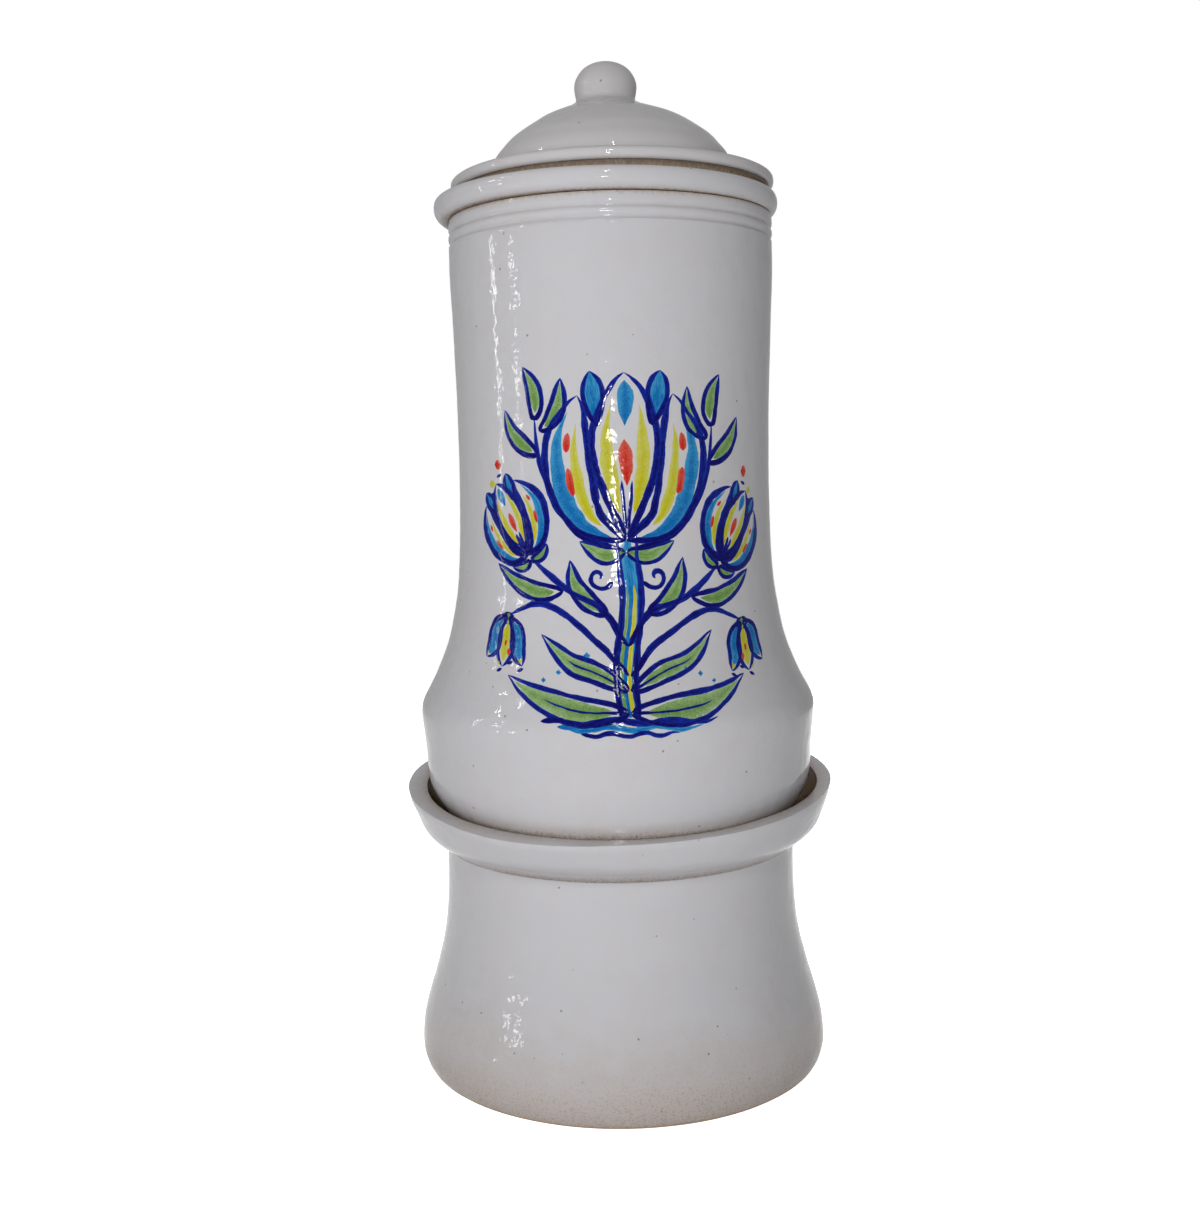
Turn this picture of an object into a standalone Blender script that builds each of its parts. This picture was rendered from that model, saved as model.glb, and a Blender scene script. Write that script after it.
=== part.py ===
"""Ceramic water filter: a lidded filter vessel hangs in the mouth of a tall jar on a stand.

A filter candle stands in the vessel, and a push tap at the back of the jar draws the
clean water. Lengths are metres, +Z is up, -Y is the decorated front, and the origin
is the centre of the stand's foot.
"""

import bpy
import bmesh
from math import cos, sin, pi, radians
from mathutils import Matrix, Vector

# Fits shared by the whole filter
GAP = 0.0003                    # between pieces that rest on each other
ROUND_STEPS = 40                # facets of the thrown pieces
SMALL_STEPS = 20                # facets of the tap and the candle
PIN_STEPS = 12
OVERRUN = 0.002                 # how far a cutter passes the face that it opens

# Stand
STAND_HEIGHT = 0.1560
STAND_FOOT_RADIUS = 0.1137
STAND_BULGE_RADIUS = 0.1163
STAND_BULGE_HEIGHT = 0.0140
STAND_WAIST_RADIUS = 0.0997
STAND_WAIST_HEIGHT = 0.1040
STAND_CREASE_HEIGHT = 0.1225
STAND_RIM_RADIUS = 0.1210
STAND_MOUTH_RADIUS = 0.1133
STAND_LEDGE_DEPTH = 0.0180
STAND_WALL = 0.0080
STAND_FLOOR = 0.0090

# Jar
JAR_HEIGHT = 0.3342
JAR_FOOT_RADIUS = 0.1070
JAR_BELT_RADIUS = 0.1122
JAR_BELT_HEIGHT = 0.0617
JAR_WAIST_RADIUS = 0.0874
JAR_WAIST_HEIGHT = 0.1967
JAR_MOUTH_RADIUS = 0.0900
JAR_COLLAR_HEIGHT = 0.3020
JAR_WALL = 0.0080
JAR_FLOOR = 0.0100
JAR_FOOT_GAP = 0.0036           # between the jar's foot and the stand's recess
GROOVE_DEPTH = 0.0008
GROOVE_WIDTH = 0.0018
GROOVE_PITCH = 0.0056
GROOVE_DROP = 0.0065            # from the jar's lip to the upper groove

# Filter vessel
VESSEL_DEPTH = 0.1375           # below the jar's lip
VESSEL_RIM_HEIGHT = 0.0116
VESSEL_RIM_RADIUS = 0.0955
VESSEL_FIT = 0.0025             # between the vessel and the jar's mouth
VESSEL_TAPER = 0.0065
VESSEL_WALL = 0.0055
VESSEL_FLOOR = 0.0090

# Lid
LID_RIM_RADIUS = 0.0895
LID_RIM_THICKNESS = 0.0066
LID_SEAT_HEIGHT = 0.0037
LID_SEAT_INSET = 0.0030
LID_SKIRT_DEPTH = 0.0077
LID_SKIRT_WALL = 0.0050
LID_SKIRT_FIT = 0.0020
LID_WALL = 0.0065
LID_SHOULDER_RISE = 0.0080
DOME_RADIUS = 0.0662
DOME_RISE = 0.0340
KNOB_RADIUS = 0.0173
KNOB_NECK_RADIUS = 0.0165
KNOB_HEIGHT = 0.0227

# Filter candle
CANDLE_RADIUS = 0.0250
CANDLE_HEIGHT = 0.1000
CANDLE_WALL = 0.0060
CORE_FIT = 0.0008
CORE_HEIGHT = 0.0700
CAP_FIT = 0.0004
CAP_WALL = 0.0021
CAP_FLOOR = 0.0030
CAP_HEIGHT = 0.0130
STEM_RADIUS = 0.0050
STEM_BORE_RADIUS = 0.0025
STEM_LENGTH = 0.0350
STEM_HOLE_RADIUS = 0.0060
WASHER_RADIUS = 0.0155
WASHER_THICKNESS = 0.0025
WING_HUB_RADIUS = 0.0090
WING_HUB_HEIGHT = 0.0080
WING_SPAN = 0.0200
WING_THICKNESS = 0.0026
WING_HEIGHT = 0.0125
THREAD_FIT = 0.0003

# Tap
TAP_HEIGHT = 0.0397             # above the jar's foot
TAP_RIM_CLEARANCE = 0.0100      # between the barrel and the stand's rim
NECK_LENGTH = 0.0030            # least clear length of the shank between collar and barrel
SHANK_RADIUS = 0.0080
SHANK_BORE_RADIUS = 0.0045
SHANK_HOLE_FIT = 0.0006
SHANK_TAIL = 0.0030
SPOT_FACE_OUTSIDE = 0.0010      # depth of the flat ground outside the wall
SPOT_FACE_INSIDE = 0.0007
COLLAR_RADIUS = 0.0150
COLLAR_THICKNESS = 0.0040
NECK_RADIUS = 0.0090
OUTER_GASKET = 0.0030
INNER_GASKET = 0.0025
GASKET_RADIUS = 0.0140
BACK_NUT_RADIUS = 0.0139
BACK_NUT_THICKNESS = 0.0080
BARREL_RADIUS = 0.0120
BARREL_TOP = 0.0120             # above the shank's axis
BARREL_FOOT = 0.0260            # below the shank's axis
CHAMBER_RADIUS = 0.0085
SEAT_DROP = 0.0180
SPOUT_RADIUS = 0.0080
SPOUT_SHOULDER = 0.0040
SPOUT_DROP = 0.0430
SPOUT_BORE_RADIUS = 0.0045
BONNET_SKIRT = 0.0063
BONNET_FLANGE = 0.0042
BONNET_CROWN = 0.0038
BONNET_TOP_RADIUS = 0.0090
BONNET_CAVITY_RADIUS = 0.0062
BONNET_ROOF = 0.0058            # from the crown down to the spring's ceiling
VALVE_STEM_RADIUS = 0.0020
STEM_RUNNING_FIT = 0.0004
STEM_HEAD = 0.0030              # above the lever's pin
PLUG_RADIUS = 0.0068
PLUG_HEIGHT = 0.0072
PLUG_SOCKET_DEPTH = 0.0048
PLUG_TIP_RADIUS = 0.0052
PLUG_TIP_HEIGHT = 0.0018
RETAINER_RADIUS = 0.0058
RETAINER_THICKNESS = 0.0012
SPRING_WIRE_RADIUS = 0.0005
SPRING_RADIUS = 0.0046
SPRING_TURNS = 6
SPRING_POINTS_PER_TURN = 8

# Lever of the tap
CAM_RADIUS = 0.0063
CAM_OFFSET = 0.0046             # lift of the valve for each radian of the lever
CAM_HALF_WIDTH = 0.0055
ARM_HALF_WIDTH = 0.0072
ARM_REACH = 0.0475
ARM_RISE = 0.0150
ARM_DEPTH = 0.0048
SLOT_REACH = 0.0028
SLOT_RISE = 0.0012
PIN_RADIUS = 0.0012
PIN_FIT = 0.0003

# Places that follow from the sizes
JAR_BASE = STAND_HEIGHT - STAND_LEDGE_DEPTH + GAP
JAR_LIP = JAR_BASE + JAR_HEIGHT
VESSEL_RIM_BASE = JAR_LIP + GAP
VESSEL_TOP = VESSEL_RIM_BASE + VESSEL_RIM_HEIGHT
LID_BASE = VESSEL_TOP + GAP
VESSEL_BOTTOM = JAR_LIP - VESSEL_DEPTH
CANDLE_SEAT = VESSEL_BOTTOM + VESSEL_FLOOR
JAR_BORE_RADIUS = JAR_MOUTH_RADIUS - JAR_WALL
VESSEL_BODY_RADIUS = JAR_BORE_RADIUS - VESSEL_FIT
VESSEL_MOUTH_RADIUS = VESSEL_BODY_RADIUS - VESSEL_WALL
CAP_BASE = WASHER_THICKNESS + 2 * GAP

# Outlines as shares of the sizes above: (height share, radius share)
STAND_FLARE_SHARES = ((0.11, 0.93), (0.20, 0.81), (0.29, 0.67), (0.38, 0.52), (0.47, 0.39),
                      (0.56, 0.265), (0.64, 0.175), (0.73, 0.096), (0.87, 0.03))
STAND_BAND_SHARES = ((0.13, 0.29), (0.28, 0.55), (0.40, 0.69), (0.61, 0.825), (0.82, 0.94),
                     (0.945, 1.0), (0.99, 0.965))
STAND_INSIDE_SHARES = ((1.0, 0.0), (0.73, 0.096), (0.56, 0.265), (0.38, 0.52), (0.20, 0.70))
JAR_BAND_SHARES = ((0.07, 0.33), (0.20, 0.44), (0.51, 0.54), (0.68, 0.64), (0.82, 0.82),
                   (0.93, 0.95), (1.0, 1.0))
JAR_FLARE_SHARES = ((0.03, 0.985), (0.06, 0.93), (0.09, 0.84), (0.15, 0.665), (0.21, 0.52),
                    (0.27, 0.39), (0.33, 0.29), (0.415, 0.195), (0.50, 0.117), (0.62, 0.055),
                    (0.78, 0.02), (1.0, 0.0))
JAR_INSIDE_SHARES = ((0.06, 0.93), (0.15, 0.665), (0.27, 0.39), (0.415, 0.195), (0.62, 0.055),
                     (1.0, 0.0))
JAR_NECK_SHARES = ((0.22, 0.06), (0.43, 0.23), (0.62, 0.46), (0.81, 0.69), (1.0, 1.0))
VESSEL_RIM_SHARES = ((0.0, 0.48), (0.07, 0.70), (0.32, 0.94), (0.66, 1.0), (0.90, 0.92),
                     (1.0, 0.72))
LID_RIM_SHARES = ((1.0, 0.0), (0.92, 0.55), (0.72, 1.0), (0.28, 1.0), (0.06, 0.6))
DOME_SHARES = ((0.93, 0.332), (0.83, 0.461), (0.72, 0.597), (0.60, 0.700), (0.485, 0.787),
               (0.368, 0.864), (0.244, 0.921), (0.118, 0.974), (0.0, 1.0))
KNOB_SHARES = ((1.0, 0.0), (0.965, 0.38), (0.83, 0.72), (0.63, 0.925), (0.45, 1.0),
               (0.26, 0.995), (0.08, 0.955))
WING_SHARES = ((0.30, 0.0), (0.62, 0.04), (0.90, 0.22), (1.0, 0.62), (0.93, 0.93), (0.78, 1.0),
               (0.62, 0.86), (0.50, 0.66), (0.30, 0.60))


def clear_scene():
    """Removes the objects that a new file holds."""
    for thing in list(bpy.data.objects):
        bpy.data.objects.remove(thing, do_unlink=True)


def new_collection(name):
    """Adds a collection to the scene."""
    group = bpy.data.collections.new(name)
    bpy.context.scene.collection.children.link(group)
    return group


clear_scene()
FILTER = new_collection("ceramic_water_filter")
CUTTERS = new_collection("cutters")


def surface(name, color, roughness, metallic=0.0, coat=0.0):
    """A Principled material with one colour."""
    material = bpy.data.materials.new(name)
    material.use_nodes = True
    shader = material.node_tree.nodes["Principled BSDF"]
    shader.inputs["Base Color"].default_value = (*color, 1.0)
    shader.inputs["Roughness"].default_value = roughness
    shader.inputs["Metallic"].default_value = metallic
    shader.inputs["Coat Weight"].default_value = coat
    return material


def white_glaze(name):
    """Off-white tin glaze over the clay."""
    return surface(name, (0.78, 0.76, 0.74), 0.18, coat=0.5)


def candle_ceramic(name):
    """Porous unglazed filter ceramic."""
    return surface(name, (0.86, 0.85, 0.81), 0.85)


def carbon(name):
    """Pressed activated carbon."""
    return surface(name, (0.03, 0.03, 0.03), 0.9)


def white_plastic(name):
    """Glossy white moulding of the tap."""
    return surface(name, (0.84, 0.84, 0.82), 0.28)


def blue_plastic(name):
    """Blue moulding of the small parts."""
    return surface(name, (0.03, 0.10, 0.42), 0.32)


def silicone(name):
    """Translucent white sealing rubber."""
    return surface(name, (0.70, 0.70, 0.68), 0.55)


def steel(name):
    """Stainless steel of the stem, the pin and the spring."""
    return surface(name, (0.62, 0.62, 0.62), 0.25, metallic=1.0)


def add_object(name, mesh, group, parent=None, location=(0.0, 0.0, 0.0), turn=(0.0, 0.0, 0.0)):
    """Puts a mesh in a collection at its place under its parent."""
    thing = bpy.data.objects.new(name, mesh)
    group.objects.link(thing)
    thing.parent = parent
    thing.location = location
    thing.rotation_euler = turn
    return thing


def add_empty(name, location, parent=None):
    """An empty that carries a group of pieces."""
    empty = bpy.data.objects.new(name, None)
    FILTER.objects.link(empty)
    empty.parent = parent
    empty.location = location
    empty.empty_display_size = GASKET_RADIUS
    return empty


def add_turned(name, outline, steps, closed, group=FILTER, parent=None,
               location=(0.0, 0.0, 0.0), turn=(0.0, 0.0, 0.0)):
    """Turns an outline of (radius, height) points about Z with a Screw modifier."""
    mesh = bpy.data.meshes.new(name)
    edges = [(i, i + 1) for i in range(len(outline) - 1)]
    if closed:
        edges.append((len(outline) - 1, 0))
    mesh.from_pydata([(r, 0.0, z) for r, z in outline], edges, [])
    thing = add_object(name, mesh, group, parent, location, turn)
    screw = thing.modifiers.new("turn", "SCREW")
    screw.steps = steps
    screw.render_steps = steps
    screw.use_merge_vertices = True
    screw.merge_threshold = 0.00001
    screw.use_smooth_shade = True
    return thing


def add_flat_outline(name, points, half_thickness, group=FILTER, parent=None):
    """Extrudes a flat outline of (x, y) points evenly to both sides of its plane."""
    curve = bpy.data.curves.new(name, "CURVE")
    curve.dimensions = "2D"
    curve.fill_mode = "BOTH"
    curve.extrude = half_thickness
    spline = curve.splines.new("POLY")
    spline.points.add(len(points) - 1)
    for point, (x, y) in zip(spline.points, points):
        point.co = (x, y, 0.0, 1.0)
    spline.use_cyclic_u = True
    guide = bpy.data.objects.new(name + "_outline", curve)
    bpy.context.scene.collection.objects.link(guide)
    return mesh_from_curve(guide, name, group, parent)


def mesh_from_curve(guide, name, group, parent):
    """Makes a closed mesh object from a curve object and removes the curve."""
    graph = bpy.context.evaluated_depsgraph_get()
    mesh = bpy.data.meshes.new_from_object(guide.evaluated_get(graph))
    work = bmesh.new()
    work.from_mesh(mesh)
    bmesh.ops.remove_doubles(work, verts=work.verts, dist=0.00001)
    bmesh.ops.recalc_face_normals(work, faces=work.faces)
    work.to_mesh(mesh)
    work.free()
    bpy.data.objects.remove(guide, do_unlink=True)
    return add_object(name, mesh, group, parent)


def add_box(name, low, high, parent=None):
    """A cutter box between two corners."""
    size = [b - a for a, b in zip(low, high)]
    middle = [(a + b) / 2 for a, b in zip(low, high)]
    work = bmesh.new()
    bmesh.ops.create_cube(work, size=1.0, matrix=Matrix.Translation(middle) @ Matrix.Diagonal((*size, 1.0)))
    mesh = bpy.data.meshes.new(name)
    work.to_mesh(mesh)
    work.free()
    return as_cutter(add_object(name, mesh, CUTTERS, parent))


def add_rod(name, radius, low, high, steps, group, parent=None, location=(0.0, 0.0, 0.0),
            turn=(0.0, 0.0, 0.0)):
    """A plain cylinder along its own Z from low to high."""
    outline = [(0.0, high), (radius, high), (radius, low), (0.0, low)]
    return add_turned(name, outline, steps, False, group, parent, location, turn)


def as_cutter(thing):
    """Marks an object as a cutter."""
    thing.hide_render = True
    thing.display_type = "WIRE"
    return thing


def combine(thing, other, operation):
    """Adds a Boolean modifier."""
    boolean = thing.modifiers.new(operation.lower(), "BOOLEAN")
    boolean.operation = operation
    boolean.object = other
    boolean.solver = "EXACT"


def finish(thing, material):
    """Gives a piece its material."""
    thing.data.materials.clear()
    thing.data.materials.append(material)
    return thing


def between(start, end, share):
    """The value at a share of the way from start to end."""
    return start + (end - start) * share


def stations(shares, heights, radii):
    """Outline points from shares of a height span and a radius span."""
    return [(between(radii[0], radii[1], r), between(heights[0], heights[1], h)) for h, r in shares]


AXIS_TO_BACK = (radians(-90), 0.0, 0.0)     # turns a piece's own Z to +Y


def make_stand():
    """Spool-shaped stand with a floor, a ledge for the jar and a broad flat rim."""
    ledge = STAND_HEIGHT - STAND_LEDGE_DEPTH
    flare = stations(STAND_FLARE_SHARES, (STAND_BULGE_HEIGHT, STAND_WAIST_HEIGHT),
                     (STAND_WAIST_RADIUS, STAND_BULGE_RADIUS))
    band = stations(STAND_BAND_SHARES, (STAND_CREASE_HEIGHT, STAND_HEIGHT),
                    (STAND_WAIST_RADIUS, STAND_RIM_RADIUS))
    inside = stations(STAND_INSIDE_SHARES, (STAND_BULGE_HEIGHT, STAND_WAIST_HEIGHT),
                      (STAND_WAIST_RADIUS - STAND_WALL, STAND_BULGE_RADIUS - STAND_WALL))
    outline = [(0.0, STAND_FLOOR), (STAND_WAIST_RADIUS, STAND_FLOOR)]
    outline += inside[::-1]
    outline += [(STAND_WAIST_RADIUS - STAND_WALL, ledge),
                (JAR_FOOT_RADIUS + JAR_FOOT_GAP, ledge),
                (STAND_MOUTH_RADIUS, STAND_HEIGHT - GAP),
                (between(STAND_MOUTH_RADIUS, STAND_RIM_RADIUS, 0.2), STAND_HEIGHT),
                (between(STAND_MOUTH_RADIUS, STAND_RIM_RADIUS, 0.85), STAND_HEIGHT)]
    outline += band[::-1]
    outline += [(STAND_WAIST_RADIUS, STAND_CREASE_HEIGHT), (STAND_WAIST_RADIUS, STAND_WAIST_HEIGHT)]
    outline += flare[::-1]
    outline += [(STAND_BULGE_RADIUS, STAND_BULGE_HEIGHT),
                (STAND_BULGE_RADIUS, STAND_BULGE_HEIGHT / 2),
                (between(STAND_FOOT_RADIUS, STAND_BULGE_RADIUS, 0.6), STAND_BULGE_HEIGHT / 6),
                (STAND_FOOT_RADIUS, 0.0), (0.0, 0.0)]
    stand = add_turned("stand", outline, ROUND_STEPS, False)
    return finish(stand, white_glaze("stand_glaze"))


def jar_outside():
    """Outer side of the jar from its lip down to its foot."""
    lip = (JAR_MOUTH_RADIUS, JAR_HEIGHT)
    groove_tops = [JAR_HEIGHT - GROOVE_DROP - i * GROOVE_PITCH for i in range(2)]
    grooves = []
    for middle in groove_tops:
        grooves += [(JAR_MOUTH_RADIUS, middle + GROOVE_WIDTH / 2),
                    (JAR_MOUTH_RADIUS - GROOVE_DEPTH, middle),
                    (JAR_MOUTH_RADIUS, middle - GROOVE_WIDTH / 2)]
    neck = stations(JAR_NECK_SHARES, (JAR_WAIST_HEIGHT, JAR_COLLAR_HEIGHT),
                    (JAR_WAIST_RADIUS, JAR_MOUTH_RADIUS))
    flare = stations(JAR_FLARE_SHARES, (JAR_BELT_HEIGHT, JAR_WAIST_HEIGHT),
                     (JAR_WAIST_RADIUS, JAR_BELT_RADIUS))
    band = stations(JAR_BAND_SHARES, (0.0, JAR_BELT_HEIGHT), (JAR_FOOT_RADIUS, JAR_BELT_RADIUS))
    return [lip] + grooves + neck[::-1] + flare[::-1] + band[::-1] + [(JAR_FOOT_RADIUS, 0.0)]


def jar_inside():
    """Inner side of the jar from its floor up to its lip."""
    flare = stations(JAR_INSIDE_SHARES, (JAR_BELT_HEIGHT, JAR_WAIST_HEIGHT),
                     (JAR_WAIST_RADIUS - JAR_WALL, JAR_BELT_RADIUS - JAR_WALL))
    band_radius = JAR_FOOT_RADIUS - JAR_WALL
    return [(0.0, JAR_FLOOR), (band_radius - JAR_FLOOR / 2, JAR_FLOOR),
            (band_radius, JAR_FLOOR * 1.6),
            (between(band_radius, JAR_BELT_RADIUS - JAR_WALL, 0.54), JAR_BELT_HEIGHT / 2),
            (JAR_BELT_RADIUS - JAR_WALL, JAR_BELT_HEIGHT)] + flare + [
            (JAR_BORE_RADIUS, JAR_COLLAR_HEIGHT), (JAR_BORE_RADIUS, JAR_HEIGHT)]


def tap_wall():
    """Outer and inner face of the jar's wall beside the tap, as distances from the jar's axis."""
    share = TAP_HEIGHT / JAR_BELT_HEIGHT
    below, above = JAR_BAND_SHARES[2], JAR_BAND_SHARES[3]
    part = (share - below[0]) / (above[0] - below[0])
    outer = between(JAR_FOOT_RADIUS, JAR_BELT_RADIUS, between(below[1], above[1], part))
    return outer - SPOT_FACE_OUTSIDE, outer - JAR_WALL + SPOT_FACE_INSIDE


def collar_span():
    """Back and front of the tap's collar, as distances from the jar's axis."""
    back = tap_wall()[0] + GAP + OUTER_GASKET + GAP
    return back, back + COLLAR_THICKNESS


def tap_axis():
    """Distance of the barrel from the jar's axis: clear of the stand's rim and of the collar."""
    clear_of_rim = STAND_RIM_RADIUS + TAP_RIM_CLEARANCE
    clear_of_collar = collar_span()[1] + NECK_LENGTH
    return max(clear_of_rim, clear_of_collar) + BARREL_RADIUS


TAP_AXIS = tap_axis()


def make_jar():
    """Tall jar, drilled and spot-faced at the back for the tap."""
    outline = jar_inside() + jar_outside() + [(0.0, 0.0)]
    place = (0.0, 0.0, JAR_BASE)
    jar = add_turned("jar", outline, ROUND_STEPS, False, location=place)
    outer_face, inner_face = tap_wall()
    hole = SHANK_RADIUS + SHANK_HOLE_FIT
    outer_flat = COLLAR_RADIUS * 1.1
    inner_flat = GASKET_RADIUS * 1.05
    high = outer_face + JAR_WALL
    low = inner_face - JAR_WALL
    drill = [(0.0, high), (outer_flat, high), (outer_flat, outer_face), (hole, outer_face),
             (hole, inner_face), (inner_flat, inner_face), (inner_flat, low), (0.0, low)]
    cutter = add_turned("tap_seat_form", drill, SMALL_STEPS, False, CUTTERS, None,
                        (0.0, 0.0, JAR_BASE + TAP_HEIGHT), AXIS_TO_BACK)
    combine(jar, as_cutter(cutter), "DIFFERENCE")
    return finish(jar, white_glaze("jar_glaze"))


def make_vessel():
    """Filter vessel that hangs by its rolled rim, with a hole for the candle in its floor."""
    rim_base = VESSEL_RIM_BASE - VESSEL_BOTTOM
    top = VESSEL_TOP - VESSEL_BOTTOM
    rim = stations(VESSEL_RIM_SHARES, (rim_base, top), (JAR_MOUTH_RADIUS - VESSEL_WALL, VESSEL_RIM_RADIUS))
    foot_radius = VESSEL_BODY_RADIUS - VESSEL_TAPER
    floor_radius = foot_radius - VESSEL_WALL
    corner = VESSEL_WALL
    outline = [(STEM_HOLE_RADIUS, VESSEL_FLOOR), (floor_radius - corner, VESSEL_FLOOR),
               (floor_radius, VESSEL_FLOOR + corner),
               (VESSEL_MOUTH_RADIUS, rim_base - corner), (VESSEL_MOUTH_RADIUS, top)]
    outline += rim[::-1]
    outline += [(VESSEL_BODY_RADIUS, rim_base), (VESSEL_BODY_RADIUS, rim_base - corner),
                (foot_radius, VESSEL_FLOOR), (foot_radius - corner, 0.0), (STEM_HOLE_RADIUS, 0.0)]
    vessel = add_turned("filter_vessel", outline, ROUND_STEPS, True, location=(0.0, 0.0, VESSEL_BOTTOM))
    return finish(vessel, white_glaze("vessel_glaze"))


def make_lid():
    """Domed lid with a ball knob, a rolled edge and a skirt that centres it."""
    seat_radius = LID_RIM_RADIUS - LID_SEAT_INSET
    skirt_radius = VESSEL_MOUTH_RADIUS - LID_SKIRT_FIT
    bore_radius = skirt_radius - LID_SKIRT_WALL
    rim_top = LID_SEAT_HEIGHT + LID_RIM_THICKNESS
    dome_base = rim_top + LID_SHOULDER_RISE
    dome_top = dome_base + DOME_RISE
    knob = stations(KNOB_SHARES, (dome_top, dome_top + KNOB_HEIGHT), (0.0, KNOB_RADIUS))
    dome = stations(DOME_SHARES, (dome_base, dome_top), (0.0, DOME_RADIUS))
    rim = stations(LID_RIM_SHARES, (LID_SEAT_HEIGHT, rim_top), (LID_RIM_RADIUS - LID_SEAT_INSET, LID_RIM_RADIUS))
    outline = knob + [(KNOB_NECK_RADIUS, dome_top)] + dome
    outline += [(DOME_RADIUS, between(rim_top, dome_base, 0.45))] + rim
    outline += [(seat_radius, LID_SEAT_HEIGHT), (seat_radius, 0.0), (skirt_radius, 0.0),
                (skirt_radius, -LID_SKIRT_DEPTH), (bore_radius, -LID_SKIRT_DEPTH), (bore_radius, rim_top / 3)]
    outline += [(DOME_RADIUS * r - LID_WALL, between(dome_base, dome_top, h) - LID_WALL * 0.6)
                for h, r in DOME_SHARES[::-2] if DOME_RADIUS * r > 4 * LID_WALL]
    outline += [(0.0, dome_top - LID_WALL * 1.3)]
    lid = add_turned("lid", outline, ROUND_STEPS, False, location=(0.0, 0.0, LID_BASE))
    return finish(lid, white_glaze("lid_glaze"))


def make_candle_cap(seat):
    """Plastic cup glued under the candle, with the threaded outlet stem."""
    inner = CANDLE_RADIUS + CAP_FIT
    outer = inner + CAP_WALL
    low = CAP_BASE - GAP
    outline = [(STEM_BORE_RADIUS, low + CAP_FLOOR), (inner, low + CAP_FLOOR), (inner, low + CAP_HEIGHT),
               (outer, low + CAP_HEIGHT), (outer, low), (STEM_RADIUS, low),
               (STEM_RADIUS, low - STEM_LENGTH), (STEM_BORE_RADIUS, low - STEM_LENGTH)]
    cap = add_turned("candle_cap", outline, SMALL_STEPS, True, parent=seat)
    return finish(cap, blue_plastic("cap_plastic"))


def make_candle_shell(seat):
    """Porous ceramic candle, closed by a dome at the top."""
    low = CAP_BASE + CAP_FLOOR
    top = low + CANDLE_HEIGHT
    spring_line = top - CANDLE_RADIUS
    inner_radius = CANDLE_RADIUS - CANDLE_WALL
    angles = [radians(15 * i) for i in range(6, -1, -1)]
    outside = [(CANDLE_RADIUS * cos(a), spring_line + CANDLE_RADIUS * sin(a)) for a in angles]
    inside = [(inner_radius * cos(a), spring_line + inner_radius * sin(a)) for a in angles[::-2]]
    outside[0] = (0.0, top)
    inside[-1] = (0.0, top - CANDLE_WALL)
    outline = outside + [(CANDLE_RADIUS, low), (inner_radius, low)] + inside
    shell = add_turned("candle_shell", outline, SMALL_STEPS, False, parent=seat)
    return finish(shell, candle_ceramic("shell_ceramic"))


def make_carbon_core(seat):
    """Block of activated carbon inside the candle."""
    low = CAP_BASE + CAP_FLOOR
    radius = CANDLE_RADIUS - CANDLE_WALL - CORE_FIT
    core = add_rod("carbon_core", radius, low, low + CORE_HEIGHT, SMALL_STEPS, FILTER, seat)
    return finish(core, carbon("core_carbon"))


def make_washer(name, seat, low, material):
    """Sealing washer round the candle's stem."""
    hole = STEM_RADIUS + THREAD_FIT
    high = low + WASHER_THICKNESS
    outline = [(hole, high), (WASHER_RADIUS, high), (WASHER_RADIUS, low), (hole, low)]
    return finish(add_turned(name, outline, SMALL_STEPS, True, parent=seat), material)


def make_wing_nut(seat, top):
    """Wing nut that clamps the candle from under the vessel's floor."""
    low = top - WING_HUB_HEIGHT
    outline = [(0.0, top), (WING_HUB_RADIUS, top), (WING_HUB_RADIUS, between(low, top, 0.35)),
               (WING_HUB_RADIUS * 0.82, low), (0.0, low)]
    nut = add_turned("wing_nut", outline, SMALL_STEPS, False, parent=seat)
    for side in (1, -1):
        points = [(side * WING_SPAN * r, top - WING_HEIGHT * h) for r, h in WING_SHARES]
        wing = add_flat_outline("wing_%s" % ("right" if side > 0 else "left"), points,
                                WING_THICKNESS / 2, CUTTERS, seat)
        wing.rotation_euler = (radians(90), 0.0, 0.0)
        combine(nut, as_cutter(wing), "UNION")
    bore = add_rod("wing_nut_bore", STEM_RADIUS + THREAD_FIT, low - OVERRUN, top + OVERRUN,
                   SMALL_STEPS, CUTTERS, seat)
    combine(nut, as_cutter(bore), "DIFFERENCE")
    return finish(nut, blue_plastic("nut_plastic"))


def make_candle():
    """Candle with the washers and the nut that hold it in the vessel's floor."""
    seat = add_empty("candle_seat", (0.0, 0.0, CANDLE_SEAT))
    make_candle_cap(seat)
    make_candle_shell(seat)
    make_carbon_core(seat)
    make_washer("upper_washer", seat, GAP, silicone("upper_washer_rubber"))
    lower = -VESSEL_FLOOR - GAP - WASHER_THICKNESS
    make_washer("lower_washer", seat, lower, silicone("lower_washer_rubber"))
    make_wing_nut(seat, lower - GAP)


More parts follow.
